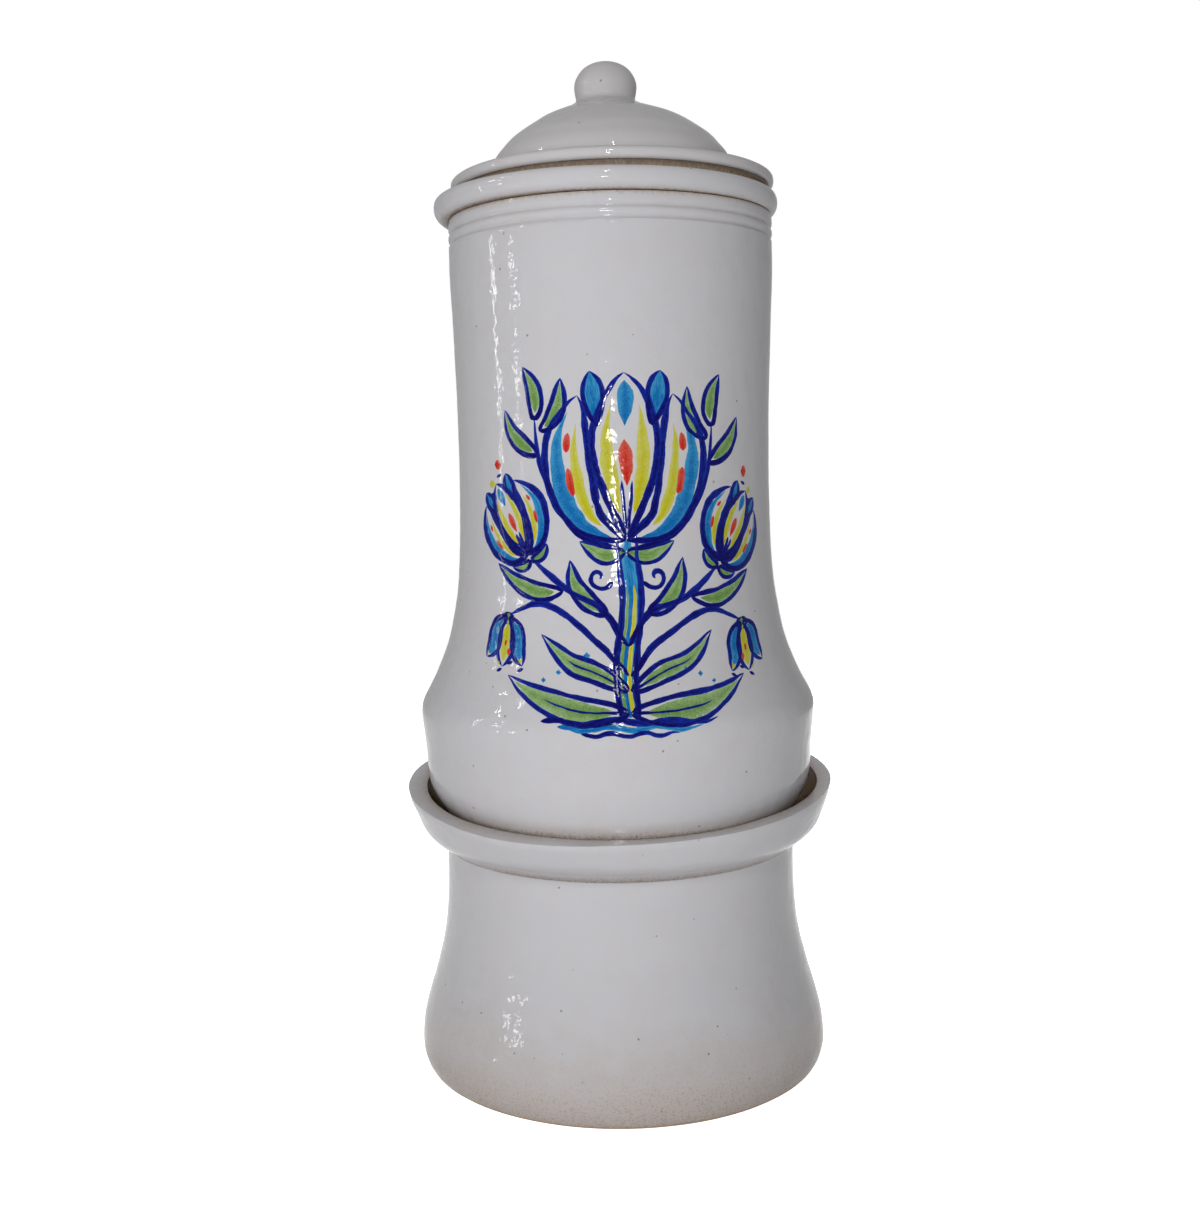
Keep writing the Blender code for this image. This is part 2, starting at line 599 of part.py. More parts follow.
def make_tap_body(tap):
    """Barrel and spout with the threaded shank that passes through the jar's wall."""
    barrel = [(0.0, BARREL_TOP), (BARREL_RADIUS, BARREL_TOP), (BARREL_RADIUS, -BARREL_FOOT),
              (SPOUT_RADIUS, -BARREL_FOOT - SPOUT_SHOULDER), (SPOUT_RADIUS, -SPOUT_DROP), (0.0, -SPOUT_DROP)]
    body = add_turned("tap_body", barrel, SMALL_STEPS, False, parent=tap)
    collar_back, collar_front = [place - TAP_AXIS for place in collar_span()]
    inner_face = tap_wall()[1]
    tail = inner_face - GAP - INNER_GASKET - GAP - BACK_NUT_THICKNESS - SHANK_TAIL - TAP_AXIS
    shank = [(0.0, 0.0), (NECK_RADIUS, 0.0), (NECK_RADIUS, collar_front), (COLLAR_RADIUS, collar_front),
             (COLLAR_RADIUS, collar_back), (SHANK_RADIUS, collar_back), (SHANK_RADIUS, tail), (0.0, tail)]
    stub = add_turned("shank_form", shank, SMALL_STEPS, False, CUTTERS, tap, turn=AXIS_TO_BACK)
    combine(body, as_cutter(stub), "UNION")
    chamber = add_rod("chamber", CHAMBER_RADIUS, -SEAT_DROP, BARREL_TOP + OVERRUN, SMALL_STEPS, CUTTERS, tap)
    combine(body, as_cutter(chamber), "DIFFERENCE")
    spout = add_rod("spout_bore", SPOUT_BORE_RADIUS, -SPOUT_DROP - OVERRUN, -SEAT_DROP + OVERRUN,
                    SMALL_STEPS, CUTTERS, tap)
    combine(body, as_cutter(spout), "DIFFERENCE")
    inlet = add_rod("shank_bore", SHANK_BORE_RADIUS, tail - OVERRUN, 0.0, SMALL_STEPS, CUTTERS, tap,
                    turn=AXIS_TO_BACK)
    combine(body, as_cutter(inlet), "DIFFERENCE")
    return finish(body, white_plastic("tap_plastic"))


def make_wall_ring(name, tap, radius, low, high, material):
    """Gasket round the tap's shank, between two distances from the jar's axis."""
    hole = SHANK_RADIUS + THREAD_FIT
    outline = [(hole, high), (radius, high), (radius, low), (hole, low)]
    ring = add_turned(name, outline, SMALL_STEPS, True, parent=tap, location=(0.0, -TAP_AXIS, 0.0),
                      turn=AXIS_TO_BACK)
    return finish(ring, material)


def make_back_nut(tap, low, high):
    """Hexagonal nut on the shank inside the jar."""
    nut = add_rod("back_nut", BACK_NUT_RADIUS, low, high, 6, FILTER, tap, (0.0, -TAP_AXIS, 0.0),
                  AXIS_TO_BACK)
    nut.modifiers["turn"].use_smooth_shade = False
    bore = add_rod("back_nut_bore", SHANK_RADIUS + THREAD_FIT, low - OVERRUN, high + OVERRUN,
                   SMALL_STEPS, CUTTERS, tap, (0.0, -TAP_AXIS, 0.0), AXIS_TO_BACK)
    combine(nut, as_cutter(bore), "DIFFERENCE")
    return finish(nut, white_plastic("back_nut_plastic"))


def make_bonnet(tap):
    """Screw cap of the barrel that guides the valve stem and holds the spring down."""
    low = BARREL_TOP + GAP
    shoulder = low + BONNET_FLANGE
    crown = shoulder + BONNET_CROWN
    ceiling = crown - BONNET_ROOF
    guide = VALVE_STEM_RADIUS + STEM_RUNNING_FIT
    skirt = CHAMBER_RADIUS - THREAD_FIT
    outline = [(guide, crown), (BONNET_TOP_RADIUS, crown), (BARREL_RADIUS, shoulder), (BARREL_RADIUS, low),
               (skirt, low), (skirt, low - BONNET_SKIRT), (BONNET_CAVITY_RADIUS, low - BONNET_SKIRT),
               (BONNET_CAVITY_RADIUS, ceiling), (guide, ceiling)]
    bonnet = add_turned("tap_bonnet", outline, SMALL_STEPS, True, parent=tap)
    finish(bonnet, white_plastic("bonnet_plastic"))
    return crown, ceiling


def make_valve_stem(tap, pivot_height):
    """Steel stem with the retainer that the spring pushes on and a cross bore for the pin."""
    plug_top = -SEAT_DROP + GAP + PLUG_HEIGHT
    retainer = plug_top + GAP
    low = plug_top - PLUG_SOCKET_DEPTH + GAP
    outline = [(0.0, pivot_height + STEM_HEAD), (VALVE_STEM_RADIUS, pivot_height + STEM_HEAD),
               (VALVE_STEM_RADIUS, retainer + RETAINER_THICKNESS),
               (RETAINER_RADIUS, retainer + RETAINER_THICKNESS), (RETAINER_RADIUS, retainer),
               (VALVE_STEM_RADIUS, retainer), (VALVE_STEM_RADIUS, low), (0.0, low)]
    stem = add_turned("valve_stem", outline, PIN_STEPS * 2, False, parent=tap)
    bore = add_rod("stem_cross_bore", PIN_RADIUS + PIN_FIT, -CAM_HALF_WIDTH, CAM_HALF_WIDTH, PIN_STEPS,
                   CUTTERS, tap, (0.0, 0.0, pivot_height), (0.0, radians(90), 0.0))
    combine(stem, as_cutter(bore), "DIFFERENCE")
    finish(stem, steel("stem_steel"))
    return retainer + RETAINER_THICKNESS


def make_valve_plug(tap):
    """Silicone plug on the end of the stem that closes the seat above the spout."""
    low = -SEAT_DROP + GAP
    top = low + PLUG_HEIGHT
    socket = VALVE_STEM_RADIUS + THREAD_FIT
    outline = [(0.0, top - PLUG_SOCKET_DEPTH), (socket, top - PLUG_SOCKET_DEPTH), (socket, top),
               (PLUG_RADIUS, top), (PLUG_RADIUS, low + PLUG_TIP_HEIGHT), (PLUG_TIP_RADIUS, low), (0.0, low)]
    plug = add_turned("valve_plug", outline, SMALL_STEPS, False, parent=tap)
    return finish(plug, silicone("plug_rubber"))


def make_return_spring(tap, low, high):
    """Coil spring round the stem, between the retainer and the bonnet's ceiling."""
    start = low + GAP + SPRING_WIRE_RADIUS
    end = high - GAP - SPRING_WIRE_RADIUS
    curve = bpy.data.curves.new("return_spring", "CURVE")
    curve.dimensions = "3D"
    curve.bevel_depth = SPRING_WIRE_RADIUS
    curve.bevel_resolution = 1
    curve.use_fill_caps = True
    spline = curve.splines.new("POLY")
    count = SPRING_TURNS * SPRING_POINTS_PER_TURN + 1
    spline.points.add(count - 1)
    for i, point in enumerate(spline.points):
        angle = 2 * pi * i / SPRING_POINTS_PER_TURN
        height = between(start, end, i / (count - 1))
        point.co = (SPRING_RADIUS * cos(angle), SPRING_RADIUS * sin(angle), height, 1.0)
    spring = add_object("return_spring", curve, FILTER, tap)
    finish(spring, steel("spring_steel"))
    turn_gap = (end - start) / SPRING_TURNS - 2 * SPRING_WIRE_RADIUS
    print("least gap between the spring's turns: %.2f mm" % (turn_gap * 1000))
    return spring


def arm_outline():
    """Side view of the lever's arm as (outward, up) points from the pin."""
    root_rise = CAM_RADIUS * 0.92
    tip = ARM_DEPTH / 2
    middle = (ARM_REACH - tip, ARM_RISE - tip)
    rounded = [(middle[0] + tip * sin(radians(a)), middle[1] + tip * cos(radians(a))) for a in range(0, 181, 30)]
    return [(SLOT_REACH, root_rise), (ARM_REACH * 0.42, ARM_RISE * 0.70)] + rounded + [
        (ARM_REACH * 0.46, ARM_RISE * 0.33), (CAM_OFFSET + CAM_RADIUS * 0.92, CAM_RADIUS * 0.3),
        (SLOT_REACH, CAM_RADIUS * 0.3)]


def make_lever(pivot):
    """Push lever whose eccentric heel lifts the stem off the bonnet."""
    stand_up = (radians(90), 0.0, radians(90))
    arm = add_flat_outline("lever", arm_outline(), ARM_HALF_WIDTH, FILTER, pivot)
    arm.rotation_euler = stand_up
    cam = add_rod("cam_form", CAM_RADIUS, -CAM_HALF_WIDTH, CAM_HALF_WIDTH, SMALL_STEPS * 2, CUTTERS, pivot,
                  (0.0, CAM_OFFSET, 0.0), (0.0, radians(90), 0.0))
    combine(arm, as_cutter(cam), "UNION")
    half_slot = VALVE_STEM_RADIUS + STEM_RUNNING_FIT
    reach = ARM_REACH
    low_slot = add_box("slot_below", (-half_slot, -reach, -reach), (half_slot, reach, SLOT_RISE), pivot)
    back_slot = add_box("slot_behind", (-half_slot, -reach, -reach), (half_slot, SLOT_REACH, reach), pivot)
    bore = add_rod("lever_pin_bore", PIN_RADIUS + PIN_FIT, -2 * CAM_HALF_WIDTH, 2 * CAM_HALF_WIDTH, PIN_STEPS,
                   CUTTERS, pivot, turn=(0.0, radians(90), 0.0))
    for cutter in (low_slot, back_slot, as_cutter(bore)):
        combine(arm, cutter, "DIFFERENCE")
    return finish(arm, blue_plastic("lever_plastic"))


def make_lever_pin(pivot):
    """Steel pin through the lever's cheeks and the stem."""
    pin = add_rod("lever_pin", PIN_RADIUS, -CAM_HALF_WIDTH, CAM_HALF_WIDTH, PIN_STEPS, FILTER, pivot,
                  turn=(0.0, radians(90), 0.0))
    return finish(pin, steel("pin_steel"))


def make_tap():
    """Push tap at the back of the jar."""
    tap = add_empty("tap_axis", (0.0, TAP_AXIS, JAR_BASE + TAP_HEIGHT))
    make_tap_body(tap)
    outer_face, inner_face = tap_wall()
    gasket = outer_face + GAP
    make_wall_ring("outer_gasket", tap, GASKET_RADIUS, gasket, gasket + OUTER_GASKET,
                   silicone("outer_gasket_rubber"))
    gasket = inner_face - GAP - INNER_GASKET
    make_wall_ring("inner_gasket", tap, GASKET_RADIUS, gasket, gasket + INNER_GASKET,
                   silicone("inner_gasket_rubber"))
    make_back_nut(tap, gasket - GAP - BACK_NUT_THICKNESS, gasket - GAP)
    crown, ceiling = make_bonnet(tap)
    pivot_height = crown + GAP + CAM_RADIUS
    spring_seat = make_valve_stem(tap, pivot_height)
    make_valve_plug(tap)
    make_return_spring(tap, spring_seat, ceiling)
    pivot = add_empty("lever_pivot", (0.0, 0.0, pivot_height), tap)
    make_lever(pivot)
    make_lever_pin(pivot)
    print("lever pin at %.5f, %.5f" % (TAP_AXIS, JAR_BASE + TAP_HEIGHT + pivot_height))
    print("spring ceiling at %.5f" % (JAR_BASE + TAP_HEIGHT + ceiling))


make_stand()
make_jar()
make_vessel()
make_lid()
make_candle()
make_tap()
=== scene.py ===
from math import atan2, cos, exp, pi, radians, sin, tau

import bmesh
import bpy
from mathutils import Matrix, Vector, noise


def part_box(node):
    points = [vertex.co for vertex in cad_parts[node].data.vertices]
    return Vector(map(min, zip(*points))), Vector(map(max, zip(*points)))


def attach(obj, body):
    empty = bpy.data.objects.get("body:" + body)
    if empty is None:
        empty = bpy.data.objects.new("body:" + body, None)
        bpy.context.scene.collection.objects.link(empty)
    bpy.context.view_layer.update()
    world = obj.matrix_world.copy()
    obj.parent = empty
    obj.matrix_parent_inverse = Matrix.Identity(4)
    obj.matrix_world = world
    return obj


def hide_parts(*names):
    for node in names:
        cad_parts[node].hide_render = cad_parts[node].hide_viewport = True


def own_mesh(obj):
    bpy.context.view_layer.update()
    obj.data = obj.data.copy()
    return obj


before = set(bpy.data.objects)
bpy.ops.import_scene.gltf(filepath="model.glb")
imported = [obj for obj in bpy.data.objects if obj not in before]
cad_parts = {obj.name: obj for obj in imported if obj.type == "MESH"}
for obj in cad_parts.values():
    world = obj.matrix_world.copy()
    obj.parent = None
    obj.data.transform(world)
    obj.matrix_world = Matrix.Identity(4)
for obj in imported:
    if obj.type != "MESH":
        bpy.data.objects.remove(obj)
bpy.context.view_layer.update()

# ---- Stand -----------------------------------------------------------------
# Spool-shaped stand, thrown in one piece from buff clay and dipped in off-white tin glaze.
# The glaze is wiped off the foot and off the recess that the jar sits in, and the broad
# flat rim sank a little at the front as it dried.
# The brown on the ledge, the recess wall and the mouth is painted shade into the recess, over its bare clay,
# and the brown in the crease under the rim is painted shade too.

STAND_HEIGHT = 0.1560
STAND_FOOT_RADIUS = 0.1137
STAND_BULGE_RADIUS = 0.1163
STAND_BULGE_HEIGHT = 0.0140
STAND_WAIST_RADIUS = 0.0997
STAND_WAIST_HEIGHT = 0.1040
STAND_CREASE_HEIGHT = 0.1241
STAND_RIM_RADIUS = 0.1210
STAND_MOUTH_RADIUS = 0.1133
STAND_RECESS_RADIUS = 0.1106
STAND_LEDGE_HEIGHT = 0.1380
STAND_WALL = 0.0080
STAND_FLOOR = 0.0090
RIM_WARP_START = 0.1285
RIM_WARP_EDGE = 0.0040
RIM_WARP = ((-180, 4.5, 4.5), (-135, 7.0, 7.0), (-112, 6.4, 6.4), (-90, 3.0, 2.6), (-70, -1.0, -1.0),
            (-52, -4.4, -3.6), (-38, -7.0, -4.9), (-22, -8.0, -5.8), (0, -7.0, -6.2), (22, -5.7, -5.1),
            (42, -3.7, -2.8), (58, -0.8, -1.2), (76, 2.2, 0.8), (90, 3.8, 2.4), (112, 6.6, 5.8),
            (135, 6.8, 6.8), (180, 4.5, 4.5))
MOUTH_PINCH = 0.0028
STAND_FLOOR_RADIUS = 0.0700
LIP_EASE = 0.0020
LEDGE_EASE = 0.0030
MOUTH_EASE = 0.0042
FOOT_EASE = 0.0011
FOOT_RING_WIDTH = 0.0140
FOOT_RING_END = 0.0160
FOOT_RING_DEPTH = 0.0016
FOOT_RING_RADIUS = 0.0500
CERAMIC_STEPS = 192
FINE_SPACING = 0.0020
PLAIN_SPACING = 0.0060
TOUCHES_AXIS = 0.00001
SHARP_EDGE = radians(38)
MILLIMETRE = 0.001
UNTHROWN_RADIUS = 0.0200
RIDGE_HEIGHT = 0.00004
RIDGE_PITCH = 0.0092
RIDGE_BREAKS = 9.0
DENTS = ((0.00007, 90.0), (0.00016, 34.0), (0.0003, 11.0))
BUMP_DEPTH = 0.001
GLAZE_IOR = 1.45
GLAZE_TINT = (0.552, 0.550, 0.576)
GLAZE_WARM = (0.548, 0.528, 0.535)
THIN_GLAZE = (0.452, 0.388, 0.348)
SPECKLE_BROWN = (0.270, 0.200, 0.155)
STAIN_AND_SHADE_BROWN = (0.110, 0.080, 0.058)
PINHOLE_BROWN = (0.100, 0.075, 0.064)
CLAY_DARK = (0.330, 0.228, 0.146)
CLAY_LIGHT = (0.500, 0.375, 0.262)
PINHOLE_CELLS = 92.0
PINHOLE_EDGE = (0.032, 0.070)
PINHOLE_LUCK = (0.36, 0.38)


def mark(radius, height, bare=0.0, stain=0.0):
    """A point of an outline: how far the glaze is thin or wiped off there, and how browned it is, by stain
    and painted shade.
    """
    return Vector((radius, height, bare, stain))


def between(start, end, share):
    """The value at a share of the way from start to end."""
    return start + (end - start) * share


def clamped(value):
    return min(max(value, 0.0), 1.0)


def lifted(outline, height):
    return [point + mark(0.0, height) for point in outline]


def stations(shares, heights, radii, bare=(0.0, 0.0)):
    """Marks from shares of a height span and a radius span."""
    return [mark(between(*radii, r), between(*heights, h), between(*bare, h)) for h, r in shares]


def drawn(points, spacing=FINE_SPACING):
    """A smooth curve through the points of one run, at an even spacing."""
    ends = [points[0] * 2 - points[1]] + points + [points[-1] * 2 - points[-2]]
    run = [points[0]]
    for before, start, end, after in zip(ends, ends[1:], ends[2:], ends[3:]):
        span = (end - start).xy.length
        leave = (end - before) * (span / (end - before).xy.length)
        arrive = (after - start) * (span / (after - start).xy.length)
        count = max(1, round(span / spacing))
        for i in range(1, count + 1):
            t = i / count
            run.append(start * (2 * t**3 - 3 * t**2 + 1) + leave * (t**3 - 2 * t**2 + t)
                       + end * (3 * t**2 - 2 * t**3) + arrive * (t**3 - t**2))
    return run


def rounded(before, corner, after, radius, count=5):
    """The corner of an outline softened by a small arc, as a sponge or a turning tool leaves it."""
    start = corner + (before - corner).normalized() * radius
    end = corner + (after - corner).normalized() * radius
    return [start * (1 - t)**2 + corner * (2 * t * (1 - t)) + end * t**2
            for t in [i / count for i in range(count + 1)]]


def potted(spot):
    """The small unevenness of a piece thrown by hand: shallow throwing ridges and soft dents."""
    out = Vector((spot.x, spot.y, 0.0))
    if out.length < UNTHROWN_RADIUS:
        return spot
    angle = atan2(spot.x, -spot.y)
    wave = sin(tau * spot.z / RIDGE_PITCH + angle)
    ridge = RIDGE_HEIGHT * wave * (0.5 + noise.noise(spot * RIDGE_BREAKS))
    dent = sum(depth * noise.noise(spot * scale) for depth, scale in DENTS)
    return spot + out.normalized() * (ridge + dent)


def turned(name, outline, steps=CERAMIC_STEPS, closed=False, hand=potted):
    """Turns an outline of marks about Z, with the wear and the painted shade of each mark kept on its ring.
    """
    work = bmesh.new()
    layers = [work.verts.layers.float.new(wear_and_shade) for wear_and_shade in ("bare", "stain")]
    rings = []
    for radius, height, *wear_and_shade in outline:
        ring = []
        for i in range(steps if radius > TOUCHES_AXIS else 1):
            angle = tau * i / steps
            spot = Vector((radius * sin(angle), -radius * cos(angle), height))
            vert = work.verts.new(hand(spot) if hand else spot)
            for layer, share in zip(layers, wear_and_shade):
                vert[layer] = share
            ring.append(vert)
        rings.append(ring)
    if closed:
        rings.append(rings[0])
    for upper, lower in zip(rings, rings[1:]):
        for i in range(steps):
            j = i + 1
            corners = dict.fromkeys((upper[i % len(upper)], upper[j % len(upper)],
                                     lower[j % len(lower)], lower[i % len(lower)]))
            if len(corners) > 2:
                work.faces.new(list(corners))
    return piece_from(name, work)


def piece_from(name, work):
    """A smooth-shaded object from a finished bmesh."""
    bmesh.ops.recalc_face_normals(work, faces=work.faces)
    mesh = bpy.data.meshes.new(name)
    work.to_mesh(mesh)
    work.free()
    mesh.shade_smooth()
    mesh.set_sharp_from_angle(angle=SHARP_EDGE)
    piece = bpy.data.objects.new(name, mesh)
    bpy.context.scene.collection.objects.link(piece)
    return piece


class Wire:
    """A node's output that can be used in sums, each of which adds its Math node."""

    def __init__(self, finish, socket):
        self.finish, self.socket = finish, socket

    def math(self, operation, *values):
        settings = {"operation": operation}
        return self.finish.node("ShaderNodeMath", settings, dict(enumerate(values)))

    def __add__(self, other): return self.math("ADD", self, other)
    def __radd__(self, other): return self.math("ADD", other, self)
    def __sub__(self, other): return self.math("SUBTRACT", self, other)
    def __rsub__(self, other): return self.math("SUBTRACT", other, self)
    def __mul__(self, other): return self.math("MULTIPLY", self, other)


class Finish:
    """The nodes of one surface finish, or of the room's light."""

    def __init__(self, owner):
        self.material = bpy.data.materials.new(owner) if isinstance(owner, str) else owner
        self.material.use_nodes = True
        self.tree = self.material.node_tree
        self.shader = self.tree.nodes.get("Principled BSDF")

    def node(self, kind, settings, values, out=0):
        """Adds a node: first its settings, then the value or the link of each socket."""
        made = self.tree.nodes.new(kind)
        for name, value in settings.items():
            setattr(made, name, value)
        self.put(made, values)
        return Wire(self, made.outputs[out])

    def put(self, made, values):
        """Links a socket to a Wire, or sets it to a plain value."""
        for name, value in values.items():
            if isinstance(value, Wire):
                self.tree.links.new(value.socket, made.inputs[name])
            else:
                made.inputs[name].default_value = value

    def shade(self, **values):
        """Sets the shader's own sockets, named with _ for a space."""
        self.put(self.shader, {name.replace("_", " "): value for name, value in values.items()})
        return self.material

    def place(self):
        return self.node("ShaderNodeTexCoord", {}, {}, out="Object")

    def stretched(self, place, scale):
        """The place with each axis scaled by itself."""
        return self.node("ShaderNodeMapping", {}, {"Vector": place, "Scale": scale})

    def noise(self, place, scale, detail=3.0, roughness=0.55):
        values = {"Vector": place, "Scale": scale, "Detail": detail, "Roughness": roughness}
        return self.node("ShaderNodeTexNoise", {}, values)

    def mesh_share(self, name):
        """A share that the mesh carries: wear, painted shade and paint load."""
        return self.node("ShaderNodeAttribute", {"attribute_name": name}, {}, out="Fac")

    def step(self, value, low, high):
        """0 below low, 1 above high and a soft step between."""
        values = {"Value": value, "From Min": low, "From Max": high}
        return self.node("ShaderNodeMapRange", {"interpolation_type": "SMOOTHSTEP"}, values)

    def blend(self, share, start, end):
        """A colour between two colours."""
        start, end = [c if isinstance(c, Wire) else (*c, 1.0) for c in (start, end)]
        return self.node("ShaderNodeMix", {"data_type": "RGBA"}, {0: share, 6: start, 7: end}, out=2)

    def bumped(self, height):
        values = {"Height": height, "Distance": BUMP_DEPTH, "Strength": 1.0}
        return self.node("ShaderNodeBump", {}, values)


def ripples(finish, place):
    """Height of the slow waves of a fired glaze, with the fine orange peel between them."""
    rings = finish.noise(finish.stretched(place, (9.0, 9.0, 190.0)), 1.0, 1.0)
    swell = finish.noise(place, 120.0, 0.0)
    peel = finish.noise(place, 430.0, 0.0)
    return rings * 0.08 + swell * 0.27 + peel * 0.060


def tin_glaze(name, tint=GLAZE_TINT, warm=GLAZE_WARM):
    """Off-white tin glaze over buff clay: mottled, speckled where thin, with bare clay at worn edges, and
    browned where the mesh marks stains and painted shade.
    """
    glaze = Finish(name)
    place = glaze.place()
    clouds = glaze.noise(place, 22.0, 4.0)
    mottle = glaze.noise(place, 95.0, 5.0, 0.62)
    grain = glaze.noise(place, 950.0, 2.0, 0.6)
    fringe = glaze.noise(glaze.stretched(place, (620.0, 620.0, 380.0)), 1.0, 4.0, 0.65)
    thin = glaze.mesh_share("bare") + (clouds - 0.5) * 0.18 + (mottle - 0.5) * 0.10
    speckle = glaze.step(grain + thin * 0.32, 0.66, 0.80)
    breaking = glaze.step(thin, 0.08, 0.62)
    wiped = glaze.step(thin + (grain - 0.5) * 0.20, 0.70, 0.80)
    warmth = glaze.step(mottle * 0.6 + clouds * 0.4 + (grain - 0.5) * 0.25, 0.38, 0.66)
    body = glaze.blend(warmth * 0.7, tint, warm)
    body = glaze.blend(breaking * 0.85, body, THIN_GLAZE)
    body = glaze.blend(speckle * breaking * 0.45, body, SPECKLE_BROWN)
    # The brown stain mask is real stain on some marks and painted shade in creases, recesses, grooves and
    # under rims on others.
    stain_and_shade_mask = glaze.step(glaze.mesh_share("stain") + (fringe - 0.5) * 0.75, 0.22, 0.95)
    clay = glaze.blend(grain, CLAY_DARK, CLAY_LIGHT)
    body = glaze.blend(wiped, body, clay)
    body = glaze.blend(stain_and_shade_mask * 0.88, body, STAIN_AND_SHADE_BROWN)
    cells = {"Vector": place, "Scale": PINHOLE_CELLS}
    near = glaze.node("ShaderNodeTexVoronoi", {}, cells, out="Distance")
    chance = glaze.node("ShaderNodeTexVoronoi", {}, cells, out="Color")
    luck = glaze.node("ShaderNodeSeparateColor", {}, {"Color": chance})
    pit = (1 - glaze.step(near, *PINHOLE_EDGE)) * glaze.step(luck, *PINHOLE_LUCK)
    body = glaze.blend(pit * (1 - wiped) * 0.60, body, PINHOLE_BROWN)
    height = ripples(glaze, place) + grain * (0.004 + wiped * 0.05) - pit * 0.20 - wiped * 0.12
    return glaze.shade(
        Base_Color=body, Roughness=0.05 + breaking * 0.10 + wiped * 0.60, IOR=GLAZE_IOR,
        Specular_IOR_Level=0.22, Normal=glaze.bumped(height))


def dress(piece, material, body, slot, *nodes):
    """Gives a piece its finish and its body, and hides the CAD nodes that it stands for."""
    piece.data.materials.clear()
    piece.data.materials.append(material)
    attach(piece, body)
    if nodes:
        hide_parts(*nodes)
    return piece


warp_line = drawn([Vector((*row, 0.0)) for row in RIM_WARP], 2.0)


def warp_at(turn):
    """How many millimetres the outer and the inner edge of the rim have moved up, at a turn in degrees."""
    for start, end in zip(warp_line, warp_line[1:]):
        if start.x <= turn <= end.x:
            return between(start, end, (turn - start.x) / (end.x - start.x)).yz
    return warp_line[0].yz


rim_warp = [warp_at(360 * i / CERAMIC_STEPS - (360 if 2 * i > CERAMIC_STEPS else 0))
            for i in range(CERAMIC_STEPS)]


def warped_rim(spot):
    """The stand's rim as it warped in drying, low at the front, high behind and pinched at the left."""
    step = round(atan2(spot.x, -spot.y) / tau * CERAMIC_STEPS) % CERAMIC_STEPS
    spot = potted(spot)
    radius = Vector(spot.xy).length
    rise = clamped((spot.z - RIM_WARP_START) / (STAND_HEIGHT - RIM_WARP_START))
    outside = clamped((radius - STAND_RECESS_RADIUS + RIM_WARP_EDGE) / RIM_WARP_EDGE)
    across = clamped((radius - STAND_MOUTH_RADIUS) / (STAND_RIM_RADIUS - STAND_MOUTH_RADIUS))
    outer, inner = rim_warp[step]
    pinch = MOUTH_PINCH * max(-spot.x / max(radius, FINE_SPACING), 0.0) ** 2 * rise * outside * (1 - across)
    lift = MILLIMETRE * between(inner, outer, across) * rise * outside
    return spot + Vector((-spot.x, -spot.y, 0.0)).normalized() * pinch + Vector((0.0, 0.0, lift))


STAND_FLARE = ((0.11, 0.93), (0.20, 0.81), (0.29, 0.67), (0.38, 0.52), (0.47, 0.39), (0.56, 0.265),
               (0.64, 0.175), (0.73, 0.096), (0.87, 0.03))
STAND_BAND = ((0.13, 0.29), (0.28, 0.55), (0.40, 0.69), (0.61, 0.825), (0.82, 0.94), (0.93, 0.995))
STAND_INSIDE = ((1.0, 0.0), (0.73, 0.096), (0.56, 0.265), (0.38, 0.52), (0.20, 0.70))


